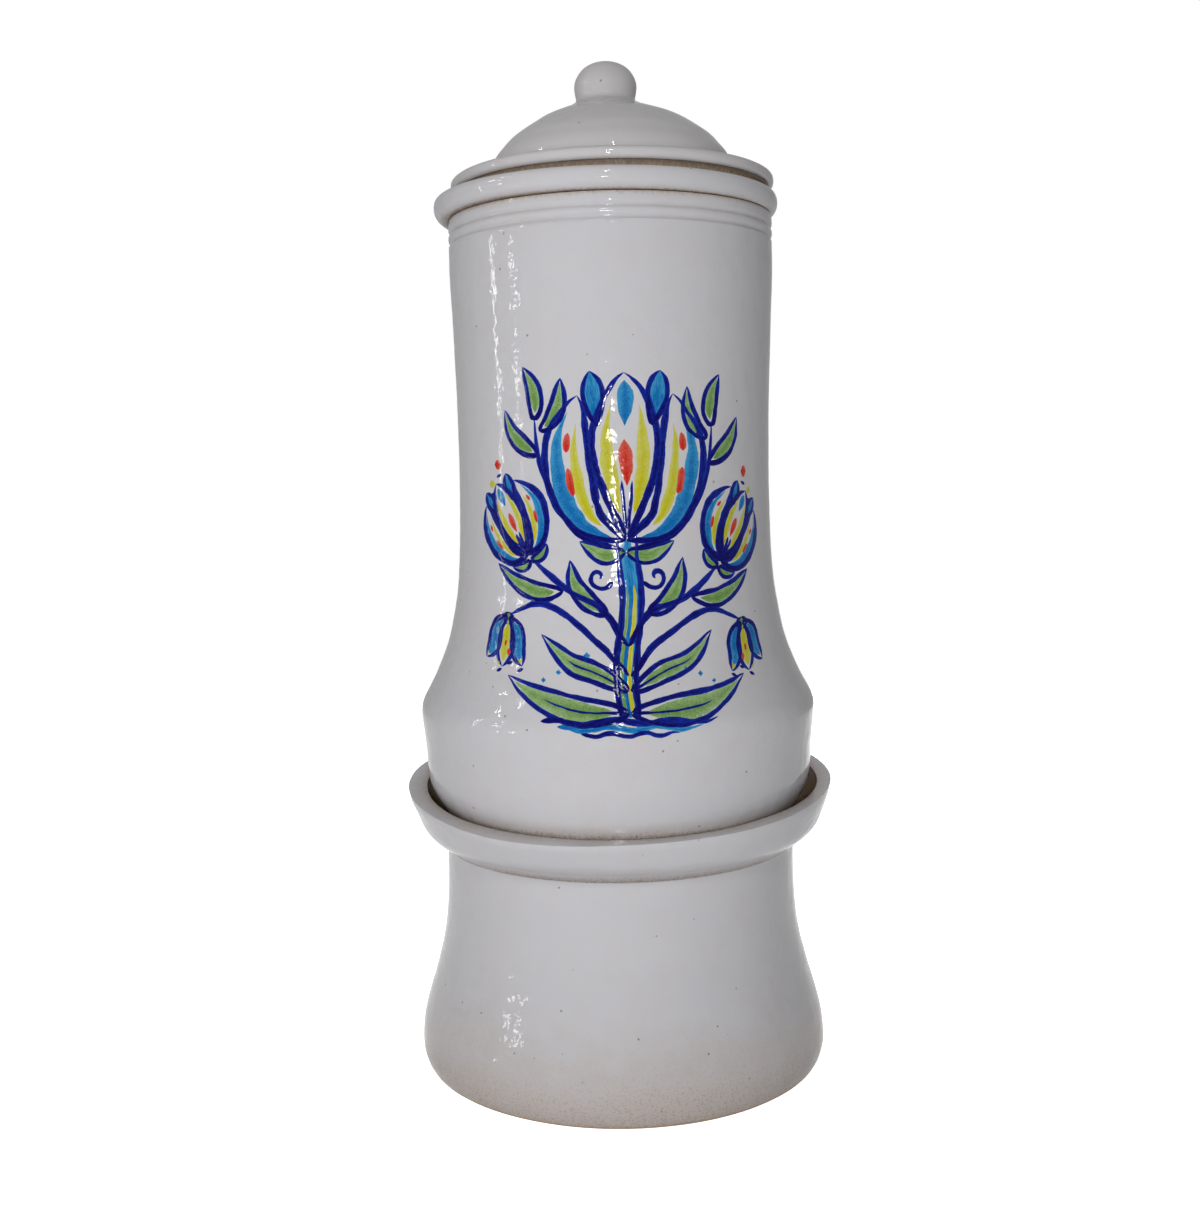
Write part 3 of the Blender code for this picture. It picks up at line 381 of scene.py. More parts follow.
def stand_outline():
    inner_waist = STAND_WAIST_RADIUS - STAND_WALL
    inside = stations(STAND_INSIDE, (STAND_BULGE_HEIGHT, STAND_WAIST_HEIGHT),
                      (inner_waist, STAND_BULGE_RADIUS - STAND_WALL), (0.55, 0.55))[::-1]
    outline = [mark(0.0, STAND_FLOOR, 0.6), mark(STAND_FLOOR_RADIUS, STAND_FLOOR, 0.6)]
    outline += drawn([mark(inner_waist, STAND_FLOOR, 0.6, 0.3)] + inside, PLAIN_SPACING)
    lip = mark(inner_waist, STAND_LEDGE_HEIGHT, 0.90)
    # The brown given to the ledge, the recess wall and the mouth is painted shade down into the recess.
    ledge = mark(STAND_RECESS_RADIUS, STAND_LEDGE_HEIGHT, 0.95, 0.25)
    mouth = mark(STAND_MOUTH_RADIUS, STAND_HEIGHT, 0.52, 0.46)
    edge = mark(STAND_RIM_RADIUS, STAND_HEIGHT, 0.20, -0.30)
    outline += rounded(inside[-1], lip, ledge, LIP_EASE) + rounded(lip, ledge, mouth, LEDGE_EASE)
    outline += [mark(between(STAND_RECESS_RADIUS, STAND_MOUTH_RADIUS, s),
                     between(STAND_LEDGE_HEIGHT, STAND_HEIGHT, s), 0.92, 0.30) for s in (0.35, 0.55, 0.72)]
    outline += rounded(ledge, mouth, edge, MOUTH_EASE, 8)
    band = stations(STAND_BAND, (STAND_CREASE_HEIGHT, STAND_HEIGHT),
                    (STAND_WAIST_RADIUS, STAND_RIM_RADIUS))[::-1]
    # The two lowest band marks and the crease mark are browned as painted shade under the band and in the
    # crease.
    band[-1][2], band[-1][3] = 0.34, 0.34
    band[-2][2], band[-2][3] = 0.16, 0.0
    outline += rounded(mouth, edge, band[0], LIP_EASE, 6)
    crease = mark(STAND_WAIST_RADIUS + 0.0002, STAND_CREASE_HEIGHT, 0.40, 0.62)
    waist = [mark(STAND_WAIST_RADIUS, STAND_CREASE_HEIGHT - 0.0014, 0.0, -0.30),
             mark(STAND_WAIST_RADIUS, STAND_WAIST_HEIGHT, 0.0)]
    flare = stations(STAND_FLARE, (STAND_BULGE_HEIGHT, STAND_WAIST_HEIGHT),
                     (STAND_WAIST_RADIUS, STAND_BULGE_RADIUS), (0.42, -0.22))[::-1]
    foot = [mark(STAND_BULGE_RADIUS, STAND_BULGE_HEIGHT, 0.44), mark(STAND_BULGE_RADIUS, 0.0070, 0.50),
            mark(between(STAND_FOOT_RADIUS, STAND_BULGE_RADIUS, 0.45), 0.0020, 0.56)]
    outline += drawn(band + [crease])[1:] + drawn([crease] + waist + flare + foot)[1:]
    ground = mark(STAND_FOOT_RADIUS, 0.0, 1.0)
    outline += rounded(foot[-1], ground, mark(0.0, 0.0, 1.0), FOOT_EASE)
    ring = mark(STAND_FOOT_RADIUS - FOOT_RING_WIDTH, 0.0, 1.0)
    rise = mark(STAND_FOOT_RADIUS - FOOT_RING_END, FOOT_RING_DEPTH, 1.0)
    under = [mark(radius, FOOT_RING_DEPTH, 1.0) for radius in (FOOT_RING_RADIUS, 0.0)]
    return outline + [ring, rise] + under


stand = turned("glazed_stand", stand_outline(), hand=warped_rim)
white_glaze = tin_glaze("white_tin_glaze")
dress(stand, white_glaze, "stand", "glaze", "stand")

# ---- Jar -------------------------------------------------------------------
# Tall jar that keeps the clean water: thrown in two lifts, joined at the belt, and glazed inside
# and out. Two lines are combed under its lip, and the wall is drilled at the back for the tap.
# Brown marks paint shade in the combed lines and under the vessel's rim, and a contact shadow round the heel
# where it goes into the stand.

JAR_BASE = 0.1383
JAR_HEIGHT = 0.3342
JAR_FOOT_RADIUS = 0.1070
JAR_BELT_RADIUS = 0.1122
JAR_BELT_HEIGHT = 0.0617
JAR_WAIST_RADIUS = 0.0874
JAR_WAIST_HEIGHT = 0.1967
JAR_MOUTH_RADIUS = 0.0900
JAR_COLLAR_HEIGHT = 0.3020
JAR_WALL = 0.0080
JAR_FLOOR = 0.0100
GROOVE_DEPTH = 0.0011
GROOVE_WIDTH = 0.0034
GROOVE_PITCH = 0.0056
GROOVE_DROP = 0.0065
GROOVE_SPACING = 0.0005
JAR_LIP_DROP = 0.0012
JAR_INNER_EASE = 0.0025
JAR_OUTER_EASE = 0.0011
TAP_HEIGHT = 0.0397
TAP_DRILL = ((0.0, 0.125), (0.0165, 0.125), (0.0165, 0.1092), (0.0086, 0.1092), (0.0086, 0.1029),
             (0.0147, 0.1029), (0.0147, 0.09), (0.0, 0.09))
DRILL_STEPS = 48
JAR_HEEL_RADIUS = 0.0960
JAR_HEEL_CORNER = (JAR_HEEL_RADIUS + 0.0006, 0.0014)
JAR_FOOT_RING = ((0.0, 0.0), (0.010, 0.0), (0.012, 0.001), (JAR_HEEL_RADIUS, 0.001))
JAR_INNER_FLOOR = 0.0500
JAR_INNER_HEEL = ((JAR_HEEL_RADIUS - 0.0005, JAR_FLOOR * 1.6), (0.1010, JAR_BELT_HEIGHT / 2))
HEEL_EASE = 0.0004
# Heel rows: height, radius, bare and stain. The thin glaze and brown near the foot paint a ragged contact
# shadow in the stand's recess.
JAR_HEEL = ((0.0032, 0.0982, 0.60, 0.80), (0.0077, 0.1006, 0.46, 0.58), (0.0112, 0.1029, 0.46, 0.48),
            (0.0150, 0.1054, 0.30, 0.06), (0.0190, 0.1075, 0.10, -0.30), (0.0230, 0.1087, -0.02, -0.40),
            (0.0270, 0.1092, 0.0, -0.40), (0.0317, 0.1098, 0.0, -0.40))
JAR_BAND = ((0.68, 0.64), (0.82, 0.82), (0.93, 0.95))
JAR_FLARE = ((0.03, 0.985), (0.06, 0.93), (0.09, 0.84), (0.15, 0.665), (0.21, 0.52), (0.27, 0.39),
             (0.33, 0.29), (0.415, 0.195), (0.50, 0.117), (0.62, 0.055), (0.78, 0.02), (1.0, 0.0))
JAR_NECK = ((0.22, 0.06), (0.43, 0.23), (0.62, 0.46), (0.81, 0.69), (1.0, 1.0))


def jar_outside():
    """The jar's outer side from its lip down to its foot, from the foot's own height."""
    # The brown just under the lip is painted shade below the vessel's rim, and the brown in each combed line
    # is painted shade in the groove.
    run = [mark(JAR_MOUTH_RADIUS, JAR_HEIGHT - JAR_LIP_DROP, 0.26, 0.34)]
    for middle in (JAR_HEIGHT - GROOVE_DROP, JAR_HEIGHT - GROOVE_DROP - GROOVE_PITCH):
        run += [mark(JAR_MOUTH_RADIUS, middle + GROOVE_WIDTH / 2, 0.04, 0.0),
                mark(JAR_MOUTH_RADIUS - GROOVE_DEPTH, middle, 0.24, 0.16),
                mark(JAR_MOUTH_RADIUS, middle - GROOVE_WIDTH / 2, 0.02, 0.0)]
    neck = stations(JAR_NECK, (JAR_WAIST_HEIGHT, JAR_COLLAR_HEIGHT), (JAR_WAIST_RADIUS, JAR_MOUTH_RADIUS))
    flare = stations(JAR_FLARE, (JAR_BELT_HEIGHT, JAR_WAIST_HEIGHT), (JAR_WAIST_RADIUS, JAR_BELT_RADIUS))
    heel = [mark(radius, height, bare, stain) for height, radius, bare, stain in JAR_HEEL]
    band = stations(JAR_BAND, (0.0, JAR_BELT_HEIGHT), (JAR_FOOT_RADIUS, JAR_BELT_RADIUS), (0.58, -0.38))
    belt = mark(JAR_BELT_RADIUS, JAR_BELT_HEIGHT, -0.05)
    upper = drawn(run, GROOVE_SPACING) + drawn([run[-1]] + neck[::-1] + flare[::-1] + [belt])[1:]
    # The heel's corner is browned most, as painted contact shadow.
    foot = mark(*JAR_HEEL_CORNER, 0.8, 0.9)
    return upper + drawn([belt] + band[::-1] + heel[::-1] + [foot])[1:]


def jar_inside():
    radii = (JAR_WAIST_RADIUS - JAR_WALL, JAR_BELT_RADIUS - JAR_WALL)
    flare = stations(JAR_FLARE[3::2], (JAR_BELT_HEIGHT, JAR_WAIST_HEIGHT), radii)
    bore = JAR_MOUTH_RADIUS - JAR_WALL
    wall = [mark(*corner) for corner in JAR_INNER_HEEL] + [mark(radii[1], JAR_BELT_HEIGHT)]
    floor = [mark(radius, JAR_FLOOR) for radius in (0.0, JAR_INNER_FLOOR, JAR_HEEL_RADIUS - JAR_WALL)]
    return floor[:-1] + drawn([floor[-1]] + wall + flare + [mark(bore, JAR_COLLAR_HEIGHT)], PLAIN_SPACING)


def jar_outline():
    inner = mark(JAR_MOUTH_RADIUS - JAR_WALL, JAR_HEIGHT, 0.8)
    # The outer lip is browned as painted shade under the vessel's rim.
    outer = mark(JAR_MOUTH_RADIUS, JAR_HEIGHT, 0.8, 0.3)
    outside = jar_outside()
    outline = jar_inside() + rounded(mark(inner[0], JAR_COLLAR_HEIGHT, 0.2), inner, outer, JAR_INNER_EASE)
    outline += rounded(inner, outer, outside[0], JAR_OUTER_EASE)[:-1] + outside
    outline += [mark(JAR_HEEL_RADIUS - inset, rise, 1.0) for inset, rise in JAR_FOOT_RING]
    return lifted(outline, JAR_BASE)


def applied(piece):
    """Takes the shape that a piece's modifiers give it as its own mesh."""
    graph = bpy.context.evaluated_depsgraph_get()
    mesh = bpy.data.meshes.new_from_object(piece.evaluated_get(graph), depsgraph=graph)
    piece.modifiers.clear()
    old, piece.data = piece.data, mesh
    mesh.name = old.name
    bpy.data.meshes.remove(old)
    mesh.shade_smooth()
    mesh.set_sharp_from_angle(angle=SHARP_EDGE)
    return piece


def worked(piece, tool, operation="DIFFERENCE"):
    """Cuts a piece with a tool shape, or joins the two, and throws the tool shape away."""
    boolean = piece.modifiers.new("work", "BOOLEAN")
    boolean.operation, boolean.object, boolean.solver = operation, tool, "EXACT"
    applied(piece)
    bpy.data.meshes.remove(tool.data)
    return piece


def moved(piece, matrix):
    piece.data.transform(matrix)
    return piece


def fuller_front(spot):
    """The jar's hand: its heel is fuller at the front, where the jar leans towards the stand's rim."""
    spot = potted(spot)
    radius, height = Vector(spot.xy).length, spot.z - JAR_BASE
    full = between(JAR_FOOT_RADIUS, JAR_BELT_RADIUS, height / JAR_BELT_HEIGHT) - HEEL_EASE
    if not 0.0 < radius < full or height > JAR_BELT_HEIGHT / 2:
        return spot
    outside = clamped((radius - JAR_HEEL_RADIUS - height / 4) / FINE_SPACING)
    front = max(-spot.y / radius, 0.0) ** 2
    return spot + Vector((spot.x, spot.y, 0.0)).normalized() * ((full - radius) * outside * front)


TO_BACK = Matrix.Rotation(radians(-90), 4, "X")
jar = turned("glazed_jar", jar_outline(), hand=fuller_front)
drill = turned("tap_drill", [mark(*corner) for corner in TAP_DRILL], DRILL_STEPS, hand=None)
worked(jar, moved(drill, Matrix.Translation((0.0, 0.0, JAR_BASE + TAP_HEIGHT)) @ TO_BACK))
dress(jar, white_glaze, "jar", "glaze", "jar")

# ---- Painted spray -----------------------------------------------------------
# Tulips, bell flowers and leaves, brushed on the front of the jar in cobalt line work over flat
# fills of cerulean, yellow, red and green, and fired in under a thin clear glaze.

PAINT_BASE = 0.2102
PAINT_CENTRE = 0.0050
PAINT_SINK = 0.00012
PAINT_FACET = 1.4
HAIR_SHIFT = 37.0
TULIP_LINE = 3.8
FIRED_TONE = 0.72
DRIFT_SEED = 7
DRIFTS = ((1.1, 0.045), (0.35, 0.16))
STEMS = ((3.8, ((0, 34, 0), (12, 52, 0), (32, 64, 1), (52, 80, 1))),
         (3.4, ((0, 20, 0), (17, 38, 0), (44, 56, 1), (66, 50, 1))),
         (2.7, ((4, 84, 0), (26, 92, 0), (44, 122, 1), (48, 152, 1))))
LEAVES = ((13.0, ((0, 2, 0), (24, 3, 0), (46, 9, 1 / 3), (66, 20, 1 / 2))),
          (9.5, ((0, 13, 0), (16, 21, 0), (31, 27, 0), (46, 41, 0))),
          (9.0, ((10, 51, 0), (19, 56, 0), (27, 66, 0), (30, 79, 0))),
          (8.5, ((34, 63, 1), (48, 62, 1), (62, 67, 1), (75, 76, 1))),
          (8.0, ((46, 132, 1), (54, 137, 1), (62, 145, 1), (67, 156, 1))),
          (8.0, ((48, 150, 1), (47, 158, 1), (49, 168, 1), (54, 178, 1))),
          (7.5, ((45, 144, 1), (38, 150, 1), (34, 160, 1), (33, 171, 1))))
BERRIES = ((73, 128, 5.2), (78, 118, 4.2), (66, 31, 4.4), (59, 27, 3.6), (73, 26, 3.4))
STALK = ((0, 0), (-2, 22), (1.5, 46), (1.5, 68), (0, 92))

# Vector noise is offset by the clock until it is seeded, so the seed keeps the strokes in place.
noise.seed_set(DRIFT_SEED)
jar_side = [(point[1] + JAR_BASE, point[0]) for point in jar_outside()][::-1]


def jar_radius(height):
    """Outer radius of the jar at a height."""
    for (low, inner), (high, outer) in zip(jar_side, jar_side[1:]):
        if low <= height <= high and high > low:
            return between(inner, outer, (height - low) / (high - low))
    return jar_side[-1][1]


def on_jar(spot, lift):
    """Wraps a flat spot of the painting, in millimetres, round the front of the jar."""
    drift = sum((size * noise.noise_vector(spot * scale) for size, scale in DRIFTS), Vector())
    height = PAINT_BASE + (spot.y + drift.y) * MILLIMETRE
    radius = jar_radius(height)
    angle = (PAINT_CENTRE + (spot.x + drift.x) * MILLIMETRE) / radius
    place = potted(Vector((radius * sin(angle), -radius * cos(angle), height)))
    out = Vector((place.x, place.y, 0.0)).normalized()
    return place + out * lift


def line_form(t):
    return min(1.0, (t / 0.06 + 0.02) ** 0.5) * min(1.0, ((1 - t) / 0.22 + 0.01) ** 0.6)


def petal_form(t):
    return max(sin(pi * t ** 1.25), 0.0) ** 0.75


def leaf_form(t):
    return max(sin(pi * t ** 0.80), 0.0) ** 0.90


def dot_form(t):
    return max(1 - (2 * t - 1) ** 2, 0.0) ** 0.5


def brushed(points, spacing=1.3):
    """Places and sideways directions along a stroke."""
    flat = [Vector((x, y, 0.0)) for x, y in points]
    run = drawn(flat, spacing)
    ways = [(after - before).normalized() for before, after in zip([run[0]] + run, run[1:] + [run[-1]])]
    return [(spot, Vector((-way.y, way.x, 0.0)), i / (len(run) - 1))
            for i, (spot, way) in enumerate(zip(run, ways))]


class Paint:
    """One pot of paint and the strokes made with it."""

    def __init__(self, name, full, thin, lift):
        self.name, self.full, self.thin, self.lift = name, full, thin, lift
        self.work, self.strokes = bmesh.new(), 0
        self.load = self.work.verts.layers.float.new("load")
        self.hairs = self.work.verts.layers.float_vector.new("hairs")

    def stroke(self, points, width, form=line_form):
        """A closed, lens-shaped stroke on the jar, thickest along its middle."""
        self.strokes += 1
        rings = []
        across = max(6, round(width / PAINT_FACET))
        shares = [2 * i / across - 1 for i in range(across + 1)]
        for spot, side, t in brushed(points):
            half = max(width / 2 * form(t), 0.05)
            half *= 1 + 0.22 * noise.noise(spot * 0.13 + side) + 0.10 * noise.noise(spot * 0.5)
            over = [(s, self.lift * (1 - s * s) * min(1.0, half)) for s in shares]
            under = [(s, -PAINT_SINK) for s in shares[-2:0:-1]]
            ring = []
            for share, lift in over + under:
                vert = self.work.verts.new(on_jar(spot + side * (share * half), lift))
                vert[self.load] = 1 - abs(share) * 0.5 - 0.45 * t
                vert[self.hairs] = (share * half + HAIR_SHIFT * self.strokes, t * len(points), 0.0)
                ring.append(vert)
            rings.append(ring)
        for near, far in zip(rings, rings[1:]):
            for i in range(len(near)):
                j = (i + 1) % len(near)
                self.work.faces.new((near[i], near[j], far[j], far[i]))
        self.work.faces.new(rings[0][::-1])
        self.work.faces.new(rings[-1])

    def along(self, points, start, end, width, form=line_form):
        """A stroke on a stretch of a line, from one share of its length to another."""
        self.stroke([spot.xy for spot, side, t in brushed(points) if start <= t <= end], width, form)

    def dot(self, x, y, width):
        self.stroke([(x - width / 2, y), (x, y), (x + width / 2, y)], width, dot_form)

    def finished(self):
        """The strokes as one piece, streaked by the brush's hairs and thin where it ran dry."""
        piece = piece_from("painted_" + self.name, self.work)
        finish = Finish(self.name + "_under_glaze")
        place = finish.place()
        hairs = finish.node("ShaderNodeAttribute", {"attribute_name": "hairs"}, {}, out="Vector")
        streaks = finish.noise(hairs, 1.5, 3.0, 0.6)
        puddles = finish.noise(place, 240.0, 2.0)
        full = finish.step(finish.mesh_share("load") + (streaks - 0.5) * 1.6 + (puddles - 0.5) * 0.7, 0.05, 0.95)
        surface = ripples(finish, place) + streaks * 0.008
        material = finish.shade(
            Base_Color=finish.blend(full, self.thin, self.full), Roughness=0.05 + streaks * 0.04,
            IOR=GLAZE_IOR, Specular_IOR_Level=0.13, Normal=finish.bumped(surface))
        return dress(piece, material, "jar", "glaze")


def fired(*color):
    """A screen colour of 0 to 255 as light, a little deeper for the clear glaze over it."""
    return tuple(FIRED_TONE * ((c / 255 + 0.055) / 1.055) ** 2.4 for c in color)


cerulean = Paint("cerulean", fired(4, 112, 190), fired(70, 168, 218), 0.00003)
green = Paint("leaf_green", fired(112, 158, 72), fired(176, 206, 150), 0.00004)
yellow = Paint("yellow", fired(208, 202, 16), fired(222, 222, 120), 0.00005)
red = Paint("red", fired(214, 40, 26), fired(232, 112, 92), 0.00006)
cobalt = Paint("cobalt", fired(6, 0, 106), fired(24, 52, 176), 0.00008)


def beside(points, width, form, share):
    """A line along one side of a petal or leaf, at a share of its half width."""
    return [(spot + side * (share * width / 2 * form(t))).xy for spot, side, t in brushed(points, 3.0)]


def sided(points, width, form, line):
    """A cobalt line along both sides of a petal or leaf."""
    for share in (1, -1):
        cobalt.stroke(beside(points, width, form, share), line)


def edged(points, width, form, fill, line=2.6, cover=1.0):
    """A filled petal or leaf with its side lines."""
    if cover == 1.0:
        fill.stroke(points, width, form)
    else:
        fill.along(points, 0.10, 0.93, width * cover, form)
    sided(points, width, form, line)


class Sprig:
    """A place, a tilt and a size on the painting, for a flower or a leaf."""

    def __init__(self, x, y, tilt, size):
        self.turn = Matrix.Rotation(radians(-tilt), 2)
        self.origin, self.size = Vector((x, y)), size

    def at(self, *points):
        return [self.origin + self.turn @ (Vector(point) * self.size) for point in points]


def tulip(x, y, tilt, size):
    """A tulip seen from the side: two curved outer petals and a heart petal, with the glaze left
    white between their strokes."""
    sprig = Sprig(x, y, tilt, size)
    for way in (-1, 1):
        petal = sprig.at((0, 0), (way * 14, 8), (way * 21, 28), (way * 17, 51))
        sided(petal, 17 * size, petal_form, TULIP_LINE)
        outer, inner = [beside(petal, 17 * size, petal_form, way * share) for share in (-0.46, 0.36)]
        cerulean.along(outer, 0.06, 0.92, 6.4 * size, leaf_form)
        yellow.along(inner, 0.16, 0.84, 4.2 * size, leaf_form)
        red.along(petal, 0.40, 0.58, 3.4 * size, dot_form)
        red.along(petal, 0.66, 0.78, 2.8 * size, dot_form)
    heart = sprig.at((0, 1), (0, 24), (0, 58))
    for way in (1, -1):
        side, outer, inner = [beside(heart, 23 * size, petal_form, way * share) for share in (1, 0.56, 0.20)]
        cobalt.stroke(side, TULIP_LINE)
        yellow.along(outer, 0.14, 0.80, 5.0 * size, leaf_form)
        cobalt.along(inner, 0.04, 0.34, 2.0)
    red.along(heart, 0.30, 0.62, 5.2 * size, petal_form)
    cerulean.along(heart, 0.68, 0.96, 6.0 * size, petal_form)
    for way in (-1, 1):
        tip = sprig.at((way * 9.6, 40), (way * 11, 49), (way * 12.5, 59))
        edged(tip, 7 * size, petal_form, cerulean, 2.8)
        edged(sprig.at((0, -4), (way * 8, -5), (way * 17, 0)), 5.5 * size, leaf_form, green, 2.4)


def bell(x, y, tilt, size):
    """A hanging bell flower with a scalloped mouth."""
    sprig = Sprig(x, y, tilt, size)
    for way in (-1, 1):
        petal = sprig.at((0, 0), (way * 7, -6), (way * 9, -17), (way * 14, -25))
        edged(petal, 9 * size, petal_form, cerulean, cover=0.8)
    middle = sprig.at((0, 0), (0, -12), (0, -28))
    edged(middle, 12 * size, petal_form, yellow, cover=0.66)
    red.along(middle, 0.42, 0.66, 3.4 * size, dot_form)
    edged(sprig.at((0, 2), (0, -1), (0, -5)), 8 * size, leaf_form, green, 2.0)


def leaf(points, width):
    edged(points, width, leaf_form, green, 2.7, 0.78)
    if width > 9:
        cobalt.along(points, 0.0, 0.72, 1.7)


def scroll(x, y, start, size, way):
    """A tendril that curls in on itself."""
    curl = [(size * exp(-0.14 * i), radians(start) + i / 2) for i in range(15)]
    cobalt.stroke([(x + way * reach * cos(turn), y + reach * sin(turn)) for reach, turn in curl], 2.4)


for way, rise in ((-1, 0), (1, -5)):
    stems, leaves = [[([(way * x, y + rise * share) for x, y, share in points], width)
                      for width, points in rows] for rows in (STEMS, LEAVES)]
    for stem in stems[:2]:
        cobalt.stroke(*stem)
    tulip(way * 53, 81 + rise, way * 31, 0.74)
    bell(way * 67, 49 + rise, way * -8, 0.92)
    for row in leaves[:4]:
        leaf(*row)
    cobalt.stroke(*stems[2])
    for row in leaves[4:]:
        leaf(*row)
    scroll(way * 15, 70, 200, 8.0, way)
    for x, y, width in BERRIES:
        (red if width > 4.3 else yellow).dot(way * x, y + rise, width)
        low = y + rise - width
        cobalt.stroke([(way * (x - 2.5), low), (way * (x + 1.5), low - 1.5)], 1.7)
    for i in range(4):
        cerulean.dot(way * (21 + 8 * i), 30 - 4 * i + rise / 2, 3.8 - 0.4 * i)
cerulean.stroke(STALK, 9.0)
yellow.stroke([(x + 1.5, y) for x, y in STALK[:-1]], 3.0)
green.stroke([(x - 2.2, y) for x, y in STALK[:-1]], 2.4)
for way in (-1, 1):
    cobalt.stroke([(x + way * 4.8, y) for x, y in STALK], 3.6)
tulip(0, 88, 0, 1.46)
for i, (paint, reach) in enumerate(((cobalt, 46), (cerulean, 37), (cobalt, 25))):
    wave = [(reach * (j / 6 - 1), -1.8 - 2.9 * i + 0.9 * sin(j * 1.6 + i)) for j in range(13)]
    paint.stroke(wave, 3.0 - 0.3 * i)
for paint in (cerulean, yellow, green, red, cobalt):
    paint.finished()

# ---- Filter vessel -----------------------------------------------------------
# Deep cup that hangs by its rolled rim in the jar's mouth and holds the raw water. It is thrown
# from the same clay, glazed all over but for the seat of its rim, and drilled for the candle.
# The rim's underside and its seat are browned as painted shade under the overhang.

VESSEL_DEPTH = 0.1375
VESSEL_RIM_BASE = 0.4728
VESSEL_RIM_HEIGHT = 0.0116
VESSEL_RIM_RADIUS = 0.0955
VESSEL_BODY_RADIUS = 0.0795
VESSEL_MOUTH_RADIUS = 0.0740
VESSEL_TAPER = 0.0065
VESSEL_WALL = 0.0055
VESSEL_FLOOR = 0.0090
VESSEL_HOLE_RADIUS = 0.0060
VESSEL_NECK_RADIUS = 0.0845
VESSEL_SEAT_RADIUS = 0.0880
VESSEL_JOINT = 0.0003
VESSEL_MIDDLE = 0.0200
VESSEL_FLOOR_EASE = 0.0060
VESSEL_FOOT_EASE = 0.0050
VESSEL_SEAT_EASE = 0.0015
VESSEL_RIM_SPACING = 0.0008
VESSEL_SHIFT = -0.0023
VESSEL_SHIFT_SPAN = (0.0860, 0.0925)
VESSEL_RIM = ((0.0, 0.48), (0.07, 0.70), (0.32, 0.94), (0.66, 1.0), (0.90, 0.92), (1.0, 0.72))
# Bare and stain of the rim's marks from its mouth to its seat; the brown on the underside is painted shade
# under the overhang.
VESSEL_RIM_WEAR_AND_SHADE = ((0.75, 0.2), (0.30, 0.0), (0.05, 0.0), (0.0, 0.0), (0.05, 0.0), (0.35, 0.35), (0.7, 0.8))


def slid(shift, inner, outer):
    """A hand that potted a rim a little off its own wall, from one radius outward."""
    def hand(spot):
        share = clamped((Vector(spot.xy).length - inner) / (outer - inner))
        spot = potted(spot)
        spot.x += shift * share
        return spot
    return hand


def vessel_outline():
    rim_base = VESSEL_DEPTH + VESSEL_JOINT
    top = rim_base + VESSEL_RIM_HEIGHT
    foot_radius = VESSEL_BODY_RADIUS - VESSEL_TAPER
    floor_radius = foot_radius - VESSEL_WALL
    floor = mark(floor_radius, VESSEL_FLOOR)
    mouth = mark(VESSEL_MOUTH_RADIUS, top, 0.75)
    outline = [mark(VESSEL_HOLE_RADIUS, VESSEL_FLOOR, 0.6), mark(VESSEL_MIDDLE, VESSEL_FLOOR, 0.1)]
    outline += rounded(outline[-1], floor, mouth, VESSEL_FLOOR_EASE)
    outline += [mark(between(floor_radius, VESSEL_MOUTH_RADIUS, s), between(VESSEL_FLOOR, top, s))
                for s in (0.2, 0.4, 0.6, 0.8, 0.93)]
    rim = stations(VESSEL_RIM, (rim_base, top), (VESSEL_NECK_RADIUS, VESSEL_RIM_RADIUS))[::-1]
    rim = [mark(VESSEL_NECK_RADIUS, top)] + rim
    for point, (bare, stain) in zip(rim, VESSEL_RIM_WEAR_AND_SHADE):
        point[2], point[3] = bare, stain
    outline += rounded(mark(VESSEL_MOUTH_RADIUS, 0.1), mouth, rim[0], LIP_EASE)
    outline += drawn(rim, VESSEL_RIM_SPACING)
    # The seat and the underside are bare clay, browned as painted shade under the rim.
    under = mark(VESSEL_BODY_RADIUS, rim_base, 0.9, 0.5)
    foot = mark(foot_radius, 0.0, 0.7)
    outline += [mark(VESSEL_SEAT_RADIUS, rim_base, 0.9, 0.6)]
    outline += rounded(mark(VESSEL_SEAT_RADIUS, rim_base, 0.9), under, foot, VESSEL_SEAT_EASE)
    outline += [mark(between(VESSEL_BODY_RADIUS, foot_radius, s), between(rim_base, 0.0, s), 0.1)
                for s in (0.1, 0.3, 0.5, 0.7, 0.9)]
    outline += rounded(under, foot, mark(0.0, 0.0), VESSEL_FOOT_EASE)
    outline += [mark(radius, 0.0, 0.8) for radius in (VESSEL_MIDDLE, VESSEL_HOLE_RADIUS)]
    return lifted(outline, VESSEL_RIM_BASE - rim_base)


lean = slid(VESSEL_SHIFT, *VESSEL_SHIFT_SPAN)
vessel = turned("glazed_filter_vessel", vessel_outline(), closed=True, hand=lean)
dress(vessel, white_glaze, "vessel", "glaze", "filter_vessel")

# ---- Lid -----------------------------------------------------------------------
# Domed lid thrown with its knob on the hump, then turned and glazed. A skirt under the flat edge
# drops into the vessel's mouth, and the seat round it is left bare so that it doesn't stick.
# The seat is browned most at the joint, as painted shade under the lid's edge.

LID_BASE = 0.4847
LID_RIM_RADIUS = 0.0895
LID_RIM_THICKNESS = 0.0066
LID_SEAT_HEIGHT = 0.0037
LID_SEAT_INSET = 0.0030
LID_SKIRT_DEPTH = 0.0077
LID_SKIRT_RADIUS = 0.0720
LID_SKIRT_WALL = 0.0050
LID_WALL = 0.0065
LID_SHOULDER_RISE = 0.0080
DOME_RADIUS = 0.0662
DOME_RISE = 0.0340
KNOB_RADIUS = 0.0173
KNOB_NECK_RADIUS = 0.0165
KNOB_HEIGHT = 0.0227
LID_SHIFT = 0.0016
KNOB_FILLET = ((0.0003, 0.0013), (0.0014, 0.0000), (0.0034, -0.0011))
KNOB_LOW = 0.5250
KNOB_LEAN = 0.0130
KNOB_SHIFT = -0.0028
LID_EASE = 0.0012
